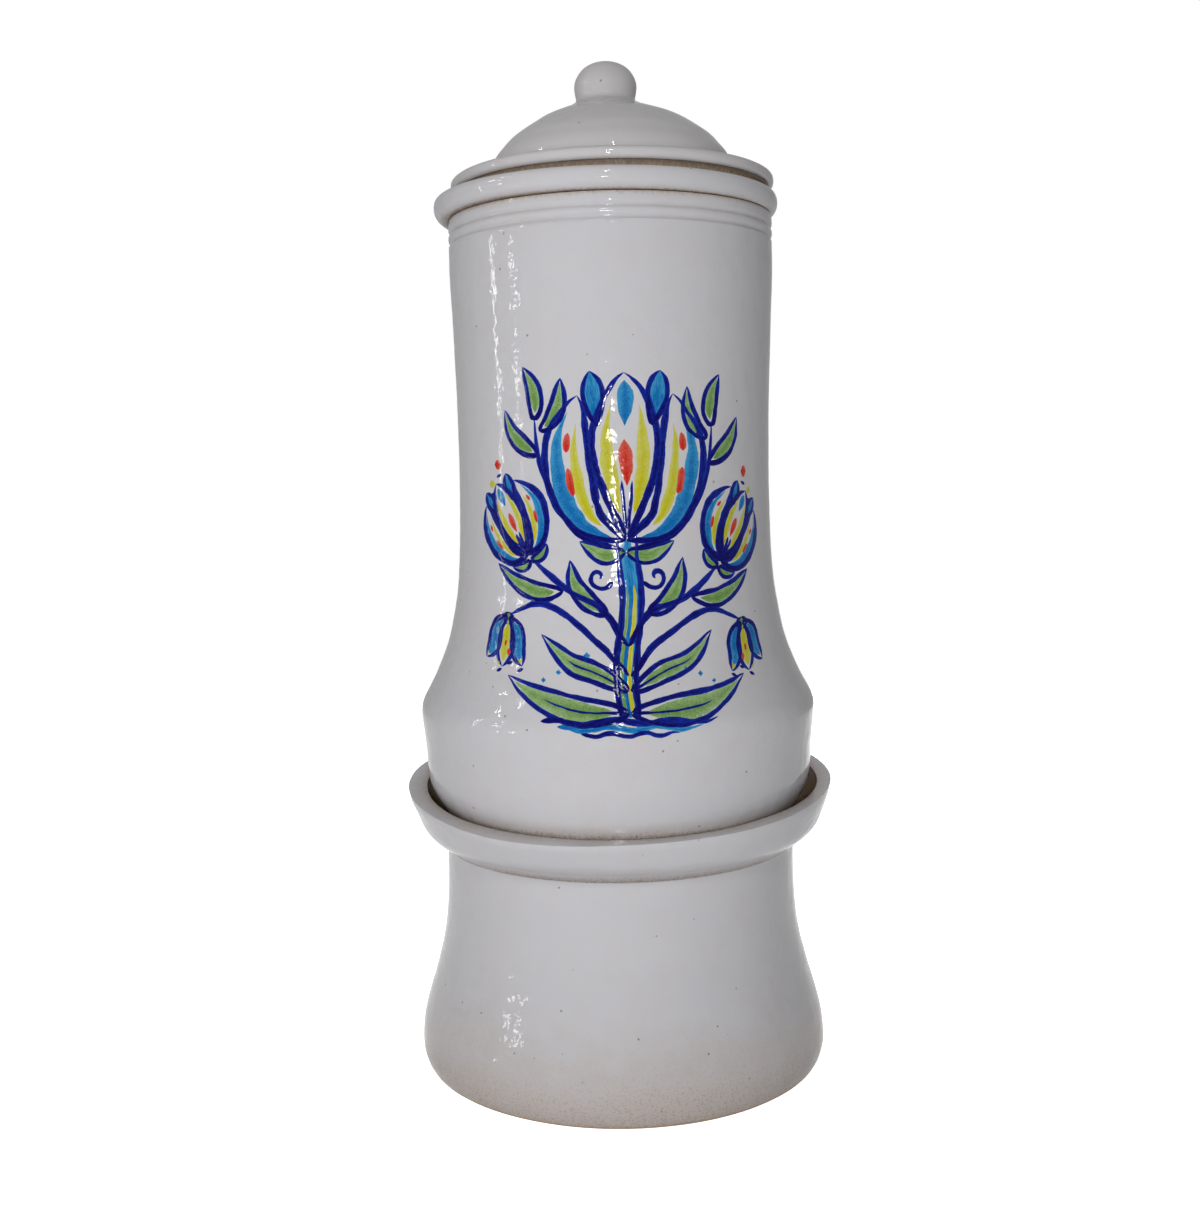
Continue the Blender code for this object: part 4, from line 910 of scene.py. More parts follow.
# Seat rows: inset, height, bare and stain. The brown is painted shade in the joint under the lid's edge.
LID_SEAT = ((0.0000, 0.0037, 0.7, 0.95), (0.0000, 0.0004, 0.95, 0.45), (0.0010, 0.0, 0.95, 0.0))
LID_SKIRT = ((0.0020, 0.0, 0.95), (0.0, -0.0012, 0.9))
LID_TINT = (0.558, 0.548, 0.560)
LID_WARM = (0.562, 0.534, 0.530)
KNOB_SPACING = 0.0010
DOME_SPACING = 0.0014
HOLLOW_SPACING = 0.0040
LID_RIM = ((1.0, 0.0), (0.92, 0.55), (0.72, 1.0), (0.28, 1.0), (0.06, 0.6))
DOME = ((0.93, 0.332), (0.83, 0.461), (0.72, 0.597), (0.60, 0.700), (0.485, 0.787), (0.368, 0.864),
        (0.244, 0.921), (0.118, 0.974), (0.0, 1.0))
KNOB = ((1.0, 0.0), (0.965, 0.38), (0.83, 0.72), (0.63, 0.925), (0.45, 1.0), (0.27, 0.985))


def lid_outline():
    rim_top = LID_SEAT_HEIGHT + LID_RIM_THICKNESS
    dome_base = rim_top + LID_SHOULDER_RISE
    dome_top = dome_base + DOME_RISE
    knob = stations(KNOB, (dome_top, dome_top + KNOB_HEIGHT), (0.0, KNOB_RADIUS))
    neck = mark(KNOB_NECK_RADIUS - 0.0001, dome_top + 0.0026)
    fillet = [mark(KNOB_NECK_RADIUS + grown, dome_top + rise) for grown, rise in KNOB_FILLET]
    dome = stations(DOME, (dome_base, dome_top), (0.0, DOME_RADIUS))
    shoulder = mark(DOME_RADIUS + 0.0004, between(rim_top, dome_base, 0.35), 0.1, 0.10)
    ledge = mark(DOME_RADIUS + 0.0030, rim_top + 0.0010, 0.05, 0.12)
    seat_radius = LID_RIM_RADIUS - LID_SEAT_INSET
    rim = stations(LID_RIM, (LID_SEAT_HEIGHT, rim_top), (seat_radius, LID_RIM_RADIUS))
    outline = drawn(knob + [neck] + fillet, KNOB_SPACING)
    outline += drawn([fillet[-1]] + dome + [shoulder, ledge], DOME_SPACING)[1:]
    outline += drawn([ledge] + rim, KNOB_SPACING)[1:]
    seat = [mark(seat_radius - inset, *rest) for inset, *rest in LID_SEAT]
    seat += [mark(LID_SKIRT_RADIUS + grown, *rest) for grown, *rest in LID_SKIRT]
    foot = mark(LID_SKIRT_RADIUS, -LID_SKIRT_DEPTH, 0.9)
    bore = mark(LID_SKIRT_RADIUS - LID_SKIRT_WALL, -LID_SKIRT_DEPTH, 0.9)
    hollow = mark(bore[0], rim_top / 3, 0.2)
    outline += seat + rounded(seat[-1], foot, bore, LID_EASE) + rounded(foot, bore, hollow, LID_EASE)
    under = [mark(DOME_RADIUS * r - LID_WALL, between(dome_base, dome_top, h) - LID_WALL * 0.6, 0.15)
             for h, r in DOME[::-1] if DOME_RADIUS * r > 4 * LID_WALL]
    outline += drawn([hollow] + under + [mark(0.0, dome_top - LID_WALL * 1.3, 0.15)], HOLLOW_SPACING)
    return lifted(outline, LID_BASE)


lid = turned("glazed_lid", lid_outline())
for vert in lid.data.vertices:
    rise = clamped((vert.co.z - LID_BASE) / LID_SEAT_HEIGHT)
    over = clamped((vert.co.z - KNOB_LOW) / KNOB_LEAN)
    vert.co.x += LID_SHIFT * rise + KNOB_SHIFT * over
dress(lid, tin_glaze("warm_tin_glaze", LID_TINT, LID_WARM), "lid", "glaze", "lid")

# ---- Filter candle -----------------------------------------------------------
# Hollow ceramic candle glued in a moulded blue cup, with a block of carbon inside it. Its threaded
# stem passes through the vessel's floor between two silicone washers, and a wing nut clamps it.

FITTING_STEPS = 96
ROD_STEPS = 64
FITTING_EASE = 0.0004
BORE_SPARE = 0.0020
CANDLE_SEAT = 0.3440
CANDLE_RADIUS = 0.0250
CANDLE_HEIGHT = 0.1000
CANDLE_WALL = 0.0060
SHELL_STAINS = ((0.055, 0.0), (0.035, 0.2), (0.020, 0.6), (0.0, 1.0))
SHELL_GLUE = 0.0003
CHALK_WHITE = (0.800, 0.775, 0.715)
CHALK_CREAM = (0.735, 0.700, 0.625)
DAMP_CREAM = (0.520, 0.450, 0.345)
CUP_LOW = 0.0028
CUP_FLOOR = 0.0030
CUP_HEIGHT = 0.0130
CUP_INNER_RADIUS = 0.0254
CUP_OUTER_RADIUS = 0.0275
CUP_RIBS = 36
CUP_RIB_DEPTH = 0.0007
CUP_RIB_ENDS = (0.0018, 0.0022)
STEM_RADIUS = 0.0050
STEM_BORE_RADIUS = 0.0025
STEM_LENGTH = 0.0350
STEM_PITCH = 0.0015
THREAD_DEPTH = 0.0006
THREAD_ENDS = (0.0008, 0.0050)
WASHER_HOLE = 0.0053
WASHER_RADIUS = 0.0155
WASHER_THICKNESS = 0.0025
WASHER_EASE = 0.0007
UPPER_WASHER_LOW = 0.0003
LOWER_WASHER_LOW = -0.0118
WING_TOP = -0.0121
WING_HUB_RADIUS = 0.0090
WING_HUB_HEIGHT = 0.0080
WING_HUB_SHOULDER = 0.0052
WING_HUB_TAPER = 0.82
WING_EASE = 0.0006
WING_ROOT = 0.3
WING_SPACING = 0.0012
WING_SPAN = 0.0200
WING_THICKNESS = 0.0026
WING_HEIGHT = 0.0125
WING = ((0.30, 0.0), (0.62, 0.04), (0.90, 0.22), (1.0, 0.62), (0.93, 0.93), (0.78, 1.0), (0.62, 0.86),
        (0.50, 0.66), (0.30, 0.60))
WING_BLUE = (0.020, 0.105, 0.330)
SILICONE_GREY = (0.560, 0.570, 0.575)
SILICONE_CREAM = (0.690, 0.690, 0.670)
CARBON_BLACK = (0.010, 0.010, 0.011)
CARBON_GREY = (0.042, 0.041, 0.040)
UPRIGHT = Matrix.Rotation(radians(90), 4, "X")


def eased(corners, radius=FITTING_EASE, closed=True):
    """An outline with its corners eased by a small arc, as a mould or a lathe leaves them."""
    corners = [Vector(corner) for corner in corners]
    run = []
    for i, corner in enumerate(corners):
        if closed or 0 < i < len(corners) - 1:
            run += rounded(corners[i - 1], corner, corners[(i + 1) % len(corners)], radius, 3)
        else:
            run.append(corner)
    return run


def spaced(outline, spacing):
    """An outline with more points on its long straight runs."""
    run = [outline[0]]
    for start, end in zip(outline, outline[1:]):
        count = max(1, round((end - start).length / spacing))
        run += [between(start, end, i / count) for i in range(1, count + 1)]
    return run


def lathed(name, corners, ease=FITTING_EASE, closed=True, hand=None, spacing=None, steps=FITTING_STEPS):
    """A turned piece from its square corners, with close rings where a hand cuts it."""
    outline = eased(corners, ease, closed)
    return turned(name, spaced(outline, spacing) if spacing else outline, steps, closed, hand)


def ring(name, hole, radius, low, high, ease):
    """A flat ring with eased edges."""
    return lathed(name, [(hole, high), (radius, high), (radius, low), (hole, low)], ease)


def rod(name, radius, low, high, steps=ROD_STEPS):
    return turned(name, [(0.0, high), (radius, high), (radius, low), (0.0, low)], steps, hand=None)


def formed(*cuts):
    """A hand that cuts upright ribs or a screw thread into the outer side of a piece."""
    def hand(spot):
        out = Vector((spot.x, spot.y, 0.0))
        for starts, pitch, depth, radius, low, high in cuts:
            if low <= spot.z <= high and out.length > radius - depth / 2:
                turn = starts * atan2(spot.x, -spot.y) / tau + (spot.z / pitch if pitch else 0.0)
                spot = spot - out.normalized() * (depth * (0.5 + 0.5 * cos(tau * turn)))
        return spot
    return hand


def raised(piece, height, along=0.0):
    return moved(piece, Matrix.Translation((0.0, along, height)))


def moulded(name, tint, rough=0.32):
    """Injection-moulded plastic: faint flow marks, fine grain and handling scuffs."""
    plastic = Finish(name)
    place = plastic.place()
    flow = plastic.noise(plastic.stretched(place, (60.0, 60.0, 190.0)), 1.0, 3.0)
    grain = plastic.noise(place, 2400.0, 2.0)
    scuff = plastic.step(plastic.noise(plastic.stretched(place, (140.0, 900.0, 320.0)), 1.0, 4.0), 0.60, 0.74)
    light = tuple(min(1.0, c * 1.14 + 0.012) for c in tint)
    return plastic.shade(
        Base_Color=plastic.blend(flow, tint, light), Roughness=rough + scuff * 0.20 + (grain - 0.5) * 0.10,
        Normal=plastic.bumped(grain * 0.012 - scuff * 0.010))


def cured_silicone(name):
    """Milky silicone rubber with a dusty bloom."""
    rubber = Finish(name)
    place = rubber.place()
    bloom = rubber.noise(place, 240.0, 4.0)
    grain = rubber.noise(place, 1900.0, 2.0)
    return rubber.shade(
        Base_Color=rubber.blend(bloom, SILICONE_GREY, SILICONE_CREAM),
        Roughness=0.48 + bloom * 0.20, Normal=rubber.bumped(grain * 0.020 + bloom * 0.015))


def kept(node, material):
    """Gives a CAD piece whose own shape is right its finish."""
    for held in bpy.data.objects[node].material_slots:
        held.material = material


porous = Finish("fired_porous_ceramic")
place = porous.place()
cloud = porous.noise(place, 45.0, 4.0)
pores = porous.noise(place, 1500.0, 3.0, 0.7)
rings = porous.noise(porous.stretched(place, (12.0, 12.0, 520.0)), 1.0, 2.0)
low_edge = 1 - porous.step(porous.mesh_share("stain"), 0.0, 1.0)
damp = porous.step(cloud + (1 - low_edge) * 0.7, 0.55, 1.15)
chalk = porous.blend(cloud, CHALK_WHITE, CHALK_CREAM)
porous.shade(
    Base_Color=porous.blend(damp, chalk, DAMP_CREAM), Roughness=0.78 + pores * 0.16,
    Specular_IOR_Level=0.35, Normal=porous.bumped(pores * 0.10 + rings * 0.05))
dome_angles = [radians(6 * i) for i in range(15, -1, -1)]
dome_line = CANDLE_HEIGHT - CANDLE_RADIUS
shell_radius = CANDLE_RADIUS - CANDLE_WALL
shell = [mark(CANDLE_RADIUS * cos(a), dome_line + CANDLE_RADIUS * sin(a)) for a in dome_angles]
shell += [mark(CANDLE_RADIUS, height, 0.0, stain) for height, stain in SHELL_STAINS]
shell += [mark(shell_radius, 0.0), mark(shell_radius, dome_line)]
shell += [mark(shell_radius * cos(a), dome_line + shell_radius * sin(a)) for a in dome_angles[::-3]]
shell[0], shell[-1] = mark(0.0, CANDLE_HEIGHT), mark(0.0, CANDLE_HEIGHT - CANDLE_WALL)
shell = turned("candle_ceramic_shell", shell, FITTING_STEPS, hand=None)
raised(shell, CANDLE_SEAT + CUP_LOW + CUP_FLOOR + SHELL_GLUE)
dress(shell, porous.material, "candle", "candle_ceramic", "candle_shell")

blue_plastic = moulded("blue_moulded_plastic", WING_BLUE)
stem_foot, cup_floor, cup_rim = CUP_LOW - STEM_LENGTH, CUP_LOW + CUP_FLOOR, CUP_LOW + CUP_HEIGHT
cup = [(STEM_BORE_RADIUS, cup_floor), (CUP_INNER_RADIUS, cup_floor), (CUP_INNER_RADIUS, cup_rim),
       (CUP_OUTER_RADIUS, cup_rim), (CUP_OUTER_RADIUS, CUP_LOW), (STEM_RADIUS, CUP_LOW),
       (STEM_RADIUS, stem_foot), (STEM_BORE_RADIUS, stem_foot)]
ribs = (CUP_LOW + CUP_RIB_ENDS[0], cup_rim - CUP_RIB_ENDS[1])
thread = (stem_foot + THREAD_ENDS[0], CUP_LOW - THREAD_ENDS[1])
cuts = formed((CUP_RIBS, None, CUP_RIB_DEPTH, CUP_OUTER_RADIUS, *ribs),
              (1, STEM_PITCH, THREAD_DEPTH, STEM_RADIUS, *thread))
cup = lathed("threaded_candle_cup", cup, hand=cuts, spacing=STEM_PITCH / 6, steps=CUP_RIBS * 6)
dress(raised(cup, CANDLE_SEAT), blue_plastic, "candle", "blue_plastic", "candle_cap")

milky_silicone = cured_silicone("milky_silicone")
for name, low, body in (("upper", UPPER_WASHER_LOW, "candle"), ("lower", LOWER_WASHER_LOW, "clamp_washer")):
    washer = (WASHER_HOLE, WASHER_RADIUS, low, low + WASHER_THICKNESS, WASHER_EASE)
    washer = raised(ring(name + "_silicone_washer", *washer), CANDLE_SEAT)
    dress(washer, milky_silicone, body, "silicone", name + "_washer")


def slab(name, points, half, ease=WING_EASE):
    """A flat moulded plate from its outline in X and Y, with eased edges."""
    work = bmesh.new()
    face = work.faces.new([work.verts.new((x, y, -half)) for x, y in points])
    grown = bmesh.ops.extrude_face_region(work, geom=[face])["geom"]
    verts = [part for part in grown if isinstance(part, bmesh.types.BMVert)]
    bmesh.ops.translate(work, vec=(0.0, 0.0, 2 * half), verts=verts)
    rims = [edge for edge in work.edges if abs(edge.verts[0].co.z - edge.verts[1].co.z) < half]
    bmesh.ops.bevel(work, geom=rims, offset=ease, segments=3, affect="EDGES", profile=0.5)
    return piece_from(name, work)


hub_low = WING_TOP - WING_HUB_HEIGHT
hub = [(0.0, WING_TOP), (WING_HUB_RADIUS, WING_TOP), (WING_HUB_RADIUS, WING_TOP - WING_HUB_SHOULDER),
       (WING_HUB_RADIUS * WING_HUB_TAPER, hub_low), (0.0, hub_low)]
wing_nut = lathed("moulded_wing_nut", hub, WING_EASE, closed=False)
for side in (1, -1):
    wing = [Vector((side * WING_SPAN * r, WING_TOP - WING_HEIGHT * h)) for r, h in WING]
    wing = [point.xy for point in drawn(wing[1:-1], WING_SPACING)]
    root = side * WING_SPAN * WING_ROOT
    wing = [(root, WING_TOP - 0.0002)] + wing + [(root, WING_TOP - WING_HEIGHT * 0.6)]
    worked(wing_nut, moved(slab("wing", wing, WING_THICKNESS / 2), UPRIGHT), "UNION")
worked(wing_nut, rod("bore", WASHER_HOLE, hub_low - BORE_SPARE, WING_TOP + BORE_SPARE, FITTING_STEPS))
dress(raised(wing_nut, CANDLE_SEAT), blue_plastic, "clamp_nut", "blue_plastic", "wing_nut")

pressed = Finish("pressed_carbon")
grain = pressed.noise(pressed.place(), 700.0, 4.0, 0.7)
kept("carbon_core", pressed.shade(
    Base_Color=pressed.blend(grain, CARBON_BLACK, CARBON_GREY), Roughness=0.70 + grain * 0.25,
    Normal=pressed.bumped(grain * 0.25)))

# ---- Tap -----------------------------------------------------------------------
# White moulded push tap at the back of the jar, where the photograph can't show it. Its shank goes
# through the wall with a gasket on each side and a nut inside, and a blue lever lifts the valve.

TAP_AXIS = 0.1430
TAP_LEVEL = 0.1780
SHANK_RADIUS = 0.0080
SHANK_BORE_RADIUS = 0.0045
SHANK_TAIL = 0.0888
SHANK_PITCH = 0.0018
COLLAR = (0.1128, 0.1168)
COLLAR_RADIUS = 0.0150
COLLAR_FILLET = 0.0020
SHANK_THREAD_DEPTH = 0.0008
SHANK_THREAD_INSET = 0.0010
COLLAR_RIB_DEPTH = 0.0006
TAP_EASE = 0.0005
NECK_RADIUS = 0.0090
BARREL_RADIUS = 0.0120
BARREL_TOP = 0.0120
BARREL_FOOT = -0.0260
CHAMBER_RADIUS = 0.0085
CHAMBER_FLOOR = -0.0180
SPOUT_RADIUS = 0.0080
SPOUT_SHOULDER = -0.0300
SPOUT_END = -0.0430
SPOUT_BORE_RADIUS = 0.0045
SPOUT_BEAD = 0.0007
TAP_BORES = ((CHAMBER_RADIUS, CHAMBER_FLOOR, 0.02), (SPOUT_BORE_RADIUS, -0.05, CHAMBER_FLOOR + 0.001))
BONNET_LOW = 0.0123
BONNET_SHOULDER = 0.0165
BONNET_CROWN = 0.0203
BONNET_CEILING = 0.0145
BONNET_SKIRT = 0.0060
BONNET_RADII = (0.0024, 0.0062, 0.0082, 0.0090, 0.0120)
BONNET_RIBS = 24
BONNET_RIB_DEPTH = 0.0007
BONNET_EASE = 0.0003
BONNET_SPACING = 0.0010
GASKET_HOLE = 0.0083
GASKET_RADIUS = 0.0140
GASKETS = (("outer", 0.1095, 0.1125), ("inner", 0.1001, 0.1026))
GASKET_EASE = 0.0008
BACK_NUT = (0.0918, 0.0998)
BACK_NUT_RADIUS = 0.0139
BACK_NUT_CHAMFER = (0.90, 0.0016)
BACK_NUT_LEAD = (0.0006, 0.0008)
BACK_NUT_EASE = 0.0002
FLATS_EASE = 0.0003
FLATS_HALF_LENGTH = 0.2
LEVER_RISE = 0.0269
CAM_RADIUS = 0.0063
CAM_OFFSET = 0.0046
CAM_HALF_WIDTH = 0.0055
ARM_HALF_WIDTH = 0.0072
ARM_TIP = (0.0451, 0.0126)
ARM_TIP_RADIUS = 0.0024
ARM_TOP = ((0.0100, 0.0068), (0.0200, 0.0103), (0.0330, 0.0136))
ARM_UNDER = ((0.0330, 0.0088), (0.0219, 0.0050), (0.0150, 0.0026), (0.0104, 0.0018))
ARM_ROOT = (0.0060, 0.0018)
ARM_EASE = 0.0010
GRIPS = 5
GRIP_RADIUS = 0.0007
GRIP_INSET = 0.0016
GRIP_PITCH = 0.0024
GRIP_RISE = 0.0014
GRIP_SINK = 0.0003
GRIP_STEPS = 16
SLOT_HALF_WIDTH = 0.0024
SLOT_REACH = 0.0028
SLOT_RISE = 0.0012
SLOT_EASE = 0.0001
PIN_HOLE = 0.0015
PIN_STEPS = 24
SPRING_WIRE_RADIUS = 0.0005
SPRING_RADIUS = 0.0046
SPRING_TURNS = 6
TAP_WHITE = (0.700, 0.690, 0.660)
STEEL_DARK = (0.560, 0.550, 0.530)
STEEL_LIGHT = (0.640, 0.635, 0.620)
BEHIND = Matrix.Translation((0.0, 0.0, TAP_LEVEL)) @ TO_BACK
ALONG = Matrix.Rotation(radians(90), 4, "Z") @ UPRIGHT
ACROSS = Matrix.Rotation(radians(90), 4, "Y")

white_plastic = moulded("white_moulded_plastic", TAP_WHITE, 0.26)
waist, bead = BARREL_RADIUS - 0.0005, SPOUT_RADIUS + SPOUT_BEAD
barrel = [(0.0, BARREL_TOP), (BARREL_RADIUS, BARREL_TOP), (BARREL_RADIUS, BARREL_TOP - 0.0030),
          (waist, BARREL_TOP - 0.0036), (waist, BARREL_FOOT + 0.0020), (BARREL_RADIUS - 0.0012, BARREL_FOOT),
          (SPOUT_RADIUS, SPOUT_SHOULDER), (SPOUT_RADIUS, SPOUT_END + 0.0030), (bead, SPOUT_END + 0.0018),
          (bead, SPOUT_END), (0.0, SPOUT_END)]
tap = raised(lathed("push_tap_body", barrel, TAP_EASE, closed=False), TAP_LEVEL, TAP_AXIS)
collar_low, collar_high = COLLAR
shank = [(0.0, TAP_AXIS), (NECK_RADIUS, TAP_AXIS), (NECK_RADIUS, collar_high + COLLAR_FILLET),
         (NECK_RADIUS + COLLAR_FILLET, collar_high), (COLLAR_RADIUS, collar_high),
         (COLLAR_RADIUS, collar_low), (SHANK_RADIUS, collar_low), (SHANK_RADIUS, SHANK_TAIL),
         (0.0, SHANK_TAIL)]
thread = (SHANK_TAIL + SHANK_THREAD_INSET, collar_low - SHANK_THREAD_INSET)
cuts = formed((1, SHANK_PITCH, SHANK_THREAD_DEPTH, SHANK_RADIUS, *thread),
              (BONNET_RIBS, None, COLLAR_RIB_DEPTH, COLLAR_RADIUS, *COLLAR))
shank = lathed("shank", shank, TAP_EASE, closed=False, hand=cuts, spacing=SHANK_PITCH / 6)
worked(tap, moved(shank, BEHIND), "UNION")
for bore in TAP_BORES:
    worked(tap, raised(rod("bore", *bore), TAP_LEVEL, TAP_AXIS))
worked(tap, moved(rod("inlet", SHANK_BORE_RADIUS, SHANK_TAIL - BORE_SPARE, TAP_AXIS), BEHIND))
dress(tap, white_plastic, "jar", "white_plastic", "tap_body")

guide, cavity, skirt, crown, flange = BONNET_RADII
skirt_low = BONNET_LOW - BONNET_SKIRT
bonnet = [(guide, BONNET_CROWN), (crown, BONNET_CROWN), (flange, BONNET_SHOULDER), (flange, BONNET_LOW),
          (skirt, BONNET_LOW), (skirt, skirt_low), (cavity, skirt_low), (cavity, BONNET_CEILING),
          (guide, BONNET_CEILING)]
cuts = formed((BONNET_RIBS, None, BONNET_RIB_DEPTH, flange, BONNET_LOW + 0.0003, BONNET_SHOULDER + 0.0001))
bonnet = lathed("ribbed_tap_bonnet", bonnet, BONNET_EASE, hand=cuts, spacing=BONNET_SPACING,
                steps=BONNET_RIBS * 6)
dress(raised(bonnet, TAP_LEVEL, TAP_AXIS), white_plastic, "jar", "white_plastic", "tap_bonnet")

for name, low, high in GASKETS:
    gasket = ring(name + "_tap_gasket", GASKET_HOLE, GASKET_RADIUS, low, high, GASKET_EASE)
    dress(moved(gasket, BEHIND), milky_silicone, "jar", "silicone", name + "_gasket")

nut_low, nut_high = BACK_NUT
face, chamfer = BACK_NUT_RADIUS * BACK_NUT_CHAMFER[0], BACK_NUT_CHAMFER[1]
mouth, lead = GASKET_HOLE + BACK_NUT_LEAD[0], BACK_NUT_LEAD[1]
nut = [(mouth, nut_high), (face, nut_high), (BACK_NUT_RADIUS, nut_high - chamfer),
       (BACK_NUT_RADIUS, nut_low + chamfer), (face, nut_low), (mouth, nut_low),
       (GASKET_HOLE, nut_low + lead), (GASKET_HOLE, nut_high - lead)]
back_nut = lathed("back_nut_blank", nut, BACK_NUT_EASE)
corners = [(BACK_NUT_RADIUS * sin(tau * i / 6), -BACK_NUT_RADIUS * cos(tau * i / 6)) for i in range(6)]
worked(back_nut, slab("flats", corners, FLATS_HALF_LENGTH, FLATS_EASE), "INTERSECT")
back_nut.name = "hexagonal_back_nut"
dress(moved(back_nut, BEHIND), white_plastic, "jar", "white_plastic", "back_nut")

tip_along, tip_up = ARM_TIP
arm = [(SLOT_REACH, ARM_ROOT[0]), *ARM_TOP]
arm += [(tip_along + ARM_TIP_RADIUS * sin(a), tip_up + ARM_TIP_RADIUS * cos(a))
        for a in [radians(20 * i) for i in range(10)]]
arm += [*ARM_UNDER, (SLOT_REACH, ARM_ROOT[1])]
lever = moved(slab("push_lever", arm, ARM_HALF_WIDTH, ARM_EASE), ALONG)
cam = [(0.0, CAM_HALF_WIDTH), (CAM_RADIUS, CAM_HALF_WIDTH), (CAM_RADIUS, -CAM_HALF_WIDTH),
       (0.0, -CAM_HALF_WIDTH)]
cam = lathed("cam", cam, closed=False)
worked(lever, moved(cam, Matrix.Translation((0.0, CAM_OFFSET, 0.0)) @ ACROSS), "UNION")
grip_along, grip_up = ARM_TOP[-1]
for i in range(GRIPS):
    rise = between(grip_up, grip_up + GRIP_RISE, min(1.0, i / 4)) - GRIP_SINK
    spot = Matrix.Translation((0.0, grip_along + GRIP_PITCH * i, rise)) @ ACROSS
    grip = rod("grip", GRIP_RADIUS, -ARM_HALF_WIDTH + GRIP_INSET, ARM_HALF_WIDTH - GRIP_INSET, GRIP_STEPS)
    worked(lever, moved(grip, spot), "UNION")
for low, high in (((-0.05, SLOT_RISE), (0.05, -0.05)), ((-0.05, 0.05), (SLOT_REACH, -0.05))):
    slot = slab("slot", [low, (high[0], low[1]), high, (low[0], high[1])], SLOT_HALF_WIDTH, SLOT_EASE)
    worked(lever, moved(slot, ALONG))
worked(lever, moved(rod("pin_hole", PIN_HOLE, -0.02, 0.02, PIN_STEPS), ACROSS))
dress(raised(lever, TAP_LEVEL + LEVER_RISE, TAP_AXIS), blue_plastic, "lever", "blue_plastic", "lever")

drawn_steel = Finish("drawn_steel")
place = drawn_steel.place()
draw = drawn_steel.noise(drawn_steel.stretched(place, (2400.0, 2400.0, 60.0)), 1.0, 3.0)
cloud = drawn_steel.noise(place, 160.0, 3.0)
drawn_steel.shade(
    Base_Color=drawn_steel.blend(cloud, STEEL_DARK, STEEL_LIGHT), Metallic=1.0,
    Roughness=0.24 + draw * 0.16, Normal=drawn_steel.bumped(draw * 0.02))
for node in ("valve_stem", "lever_pin"):
    kept(node, drawn_steel.material)
kept("valve_plug", milky_silicone)


def coil(name, low, high, steps=24, sides=10):
    """An upright spring of round wire between two heights."""
    work = bmesh.new()
    rings = []
    up = Vector((0.0, 0.0, 1.0))
    count = SPRING_TURNS * steps
    for i in range(count + 1):
        out = Vector((cos(tau * i / steps), sin(tau * i / steps), 0.0))
        rise = between(low + SPRING_WIRE_RADIUS, high - SPRING_WIRE_RADIUS, i / count)
        middle = out * SPRING_RADIUS + up * rise
        rings.append([work.verts.new(middle + (out * cos(a) + up * sin(a)) * SPRING_WIRE_RADIUS)
                      for a in [tau * j / sides for j in range(sides)]])
    for near, far in zip(rings, rings[1:]):
        for j in range(sides):
            k = (j + 1) % sides
            work.faces.new((near[j], near[k], far[k], far[j]))
    work.faces.new(rings[0][::-1])
    work.faces.new(rings[-1])
    return piece_from(name, work)


spring_low, spring_high = [corner[2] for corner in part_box("return_spring")]
spring = raised(coil("coiled_return_spring", spring_low, spring_high), 0.0, TAP_AXIS)
dress(spring, drawn_steel.material, "jar", "steel", "return_spring")
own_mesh(spring)

# ---- Room ------------------------------------------------------------------------
# The filter stands on a white table in a plain pale room, lit softly from the front, the left, above
# and behind. Its glaze mirrors a small lamp with a bare bulb beside the camera, a lamp high above it
# and the panes of a window on the left.

VIEW_DISTANCE = 0.800
EYE_HEIGHT = 0.329
VIEW_SIDE = -0.0093
VIEW_PITCH = radians(5.0)
VIEW_ROLL = radians(-1.03)
LENS = 42.0
SENSOR = 36.0
ROOM_LIGHT = 0.06
ROOM_GLOSS = 0.42
TABLE_GLOW = 0.94
WHITE = (1.0, 1.0, 1.0, 1.0)
TABLE_WHITE = (0.82, 0.82, 0.82, 1.0)
LAMPS = (("soft_lamp", (-0.04, -1.20, 0.25), 0.28, (0.34, 0.34), 2.45, False),
         ("window_glow", (-1.20, -0.25, 0.45), 0.28, (0.50, 0.50), 0.6, False),
         ("ceiling_glow", (-0.10, -0.45, 1.60), 0.28, (0.80, 0.80), 1.5, False),
         ("sky_glow", (0.05, 0.30, 1.60), 0.28, (0.60, 0.60), 2.0, False),
         ("back_lamp", (0.25, 1.35, 0.50), 0.28, (0.60, 0.60), 12.0, False),
         ("small_lamp", (-0.020, -0.88, 0.316), 0.32, (0.060, 0.095), 0.95, True),
         ("bare_bulb", (-0.020, -0.87, 0.320), 0.32, (0.024, 0.024), 1.25, True),
         ("high_lamp", (0.000, -0.90, 0.800), 0.40, (0.050, 0.150), 1.3, True))
PANE_POWER = 66.0
HIGH_PANE_POWER = 110.0
HIGH_PANE = 0.70
PANE_DISTANCE = 1.05
PANE_DROP = 0.05
PANES = ((-0.070, 0.600, 0.022, 0.080), (-0.060, 0.500, 0.030, 0.090), (-0.078, 0.405, 0.024, 0.080),
         (-0.064, 0.320, 0.030, 0.070), (-0.072, 0.240, 0.026, 0.070), (-0.385, 0.560, 0.034, 0.070),
         (-0.400, 0.420, 0.040, 0.070), (-0.450, 0.330, 0.018, 0.060), (-0.435, 0.150, 0.040, 0.060),
         (-0.625, 0.195, 0.060, 0.060), (-0.540, 0.130, 0.025, 0.030), (-0.370, 0.030, 0.020, 0.025),
         (-0.450, 1.080, 0.060, 0.060), (-0.210, 0.840, 0.040, 0.060), (-0.420, 0.740, 0.050, 0.050))


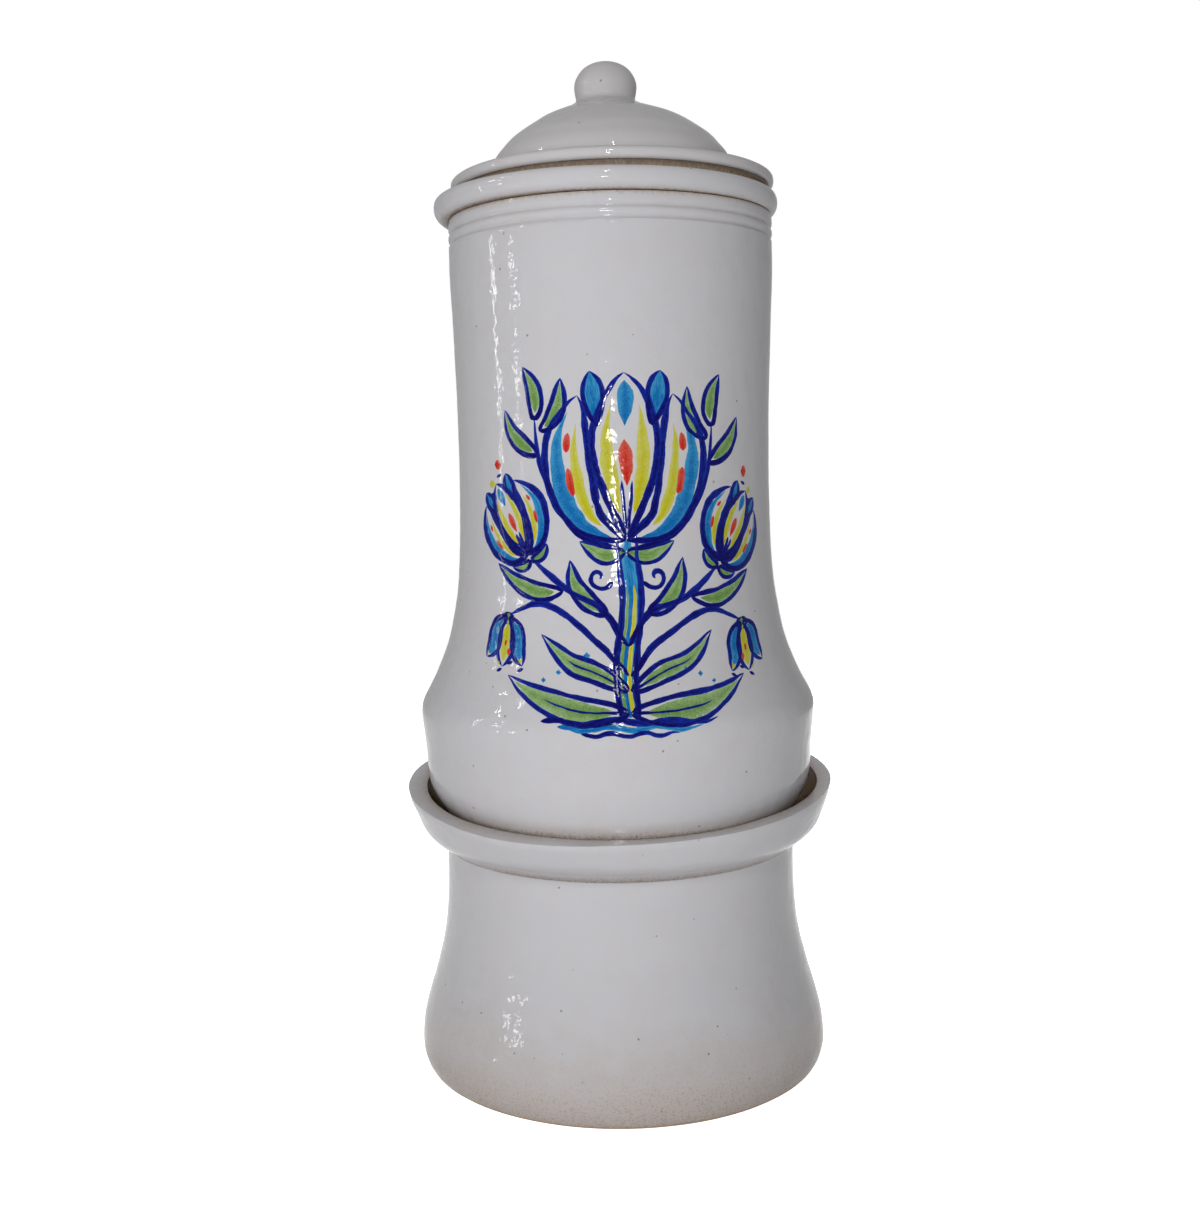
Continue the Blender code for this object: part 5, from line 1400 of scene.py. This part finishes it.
def lamp(name, place, aim, size, power, mirrored=True):
    """A rectangular lamp turned towards a height on the filter's axis."""
    light = bpy.data.lights.new(name, "AREA")
    light.shape, light.size, light.size_y, light.energy = "RECTANGLE", *size, power
    holder = bpy.data.objects.new(name, light)
    holder.location = place
    way = Vector((0.0, 0.0, aim)) - Vector(place)
    holder.rotation_euler = way.to_track_quat("-Z", "Y").to_euler()
    holder.visible_glossy = mirrored
    bpy.context.scene.collection.objects.link(holder)


for row in LAMPS:
    lamp(*row)
for i, (side, height, width, length) in enumerate(PANES):
    power = (HIGH_PANE_POWER if height > HIGH_PANE else PANE_POWER) * width * length
    lamp("window_pane_%d" % i, (-PANE_DISTANCE, side, height), height - PANE_DROP, (width, length), power)


def looked_at(finish):
    """1 for what the camera sees, less for what a glaze mirrors and 0 for the light given off."""
    seen, mirrored, through = [finish.node("ShaderNodeLightPath", {}, {}, out="Is %s Ray" % ray)
                               for ray in ("Camera", "Glossy", "Transmission")]
    return seen.math("MAXIMUM", seen.math("MAXIMUM", seen, mirrored * ROOM_GLOSS), through)


bpy.context.scene.world = bpy.data.worlds.new("pale_room")
room = Finish(bpy.context.scene.world)
walls = [room.node("ShaderNodeBackground", {}, {"Color": WHITE, "Strength": strength})
         for strength in (ROOM_LIGHT, 1.0)]
walls = room.node("ShaderNodeMixShader", {}, {0: looked_at(room), 1: walls[0], 2: walls[1]})
room.put(room.tree.nodes["World Output"], {"Surface": walls})

work = bmesh.new()
bmesh.ops.create_grid(work, x_segments=2, y_segments=2, size=6.0)
table = piece_from("white_table", work)
top = Finish("white_table_top")
top.shade(Base_Color=TABLE_WHITE, Roughness=0.9, Specular_IOR_Level=0.0)
paint = Wire(top, top.shader.outputs[0])
sheet = top.node("ShaderNodeBsdfDiffuse", {}, {"Color": WHITE})
glow = top.node("ShaderNodeEmission", {}, {"Color": WHITE, "Strength": TABLE_GLOW})
sheet = top.node("ShaderNodeAddShader", {}, {0: sheet, 1: glow})
sheet = top.node("ShaderNodeMixShader", {}, {0: looked_at(top), 1: paint, 2: sheet})
top.put(top.tree.nodes["Material Output"], {"Surface": sheet})
table.data.materials.append(top.material)

camera = bpy.data.objects.new("camera", bpy.data.cameras.new("camera"))
bpy.context.scene.collection.objects.link(camera)
camera.data.sensor_fit, camera.data.sensor_width, camera.data.lens = "HORIZONTAL", SENSOR, LENS
look = Matrix.Rotation(radians(90) - VIEW_PITCH, 4, "X") @ Matrix.Rotation(VIEW_ROLL, 4, "Z")
camera.matrix_world = Matrix.Translation((VIEW_SIDE, -VIEW_DISTANCE, EYE_HEIGHT)) @ look
bpy.context.scene.camera = camera
bpy.context.scene.view_settings.view_transform = "Standard"
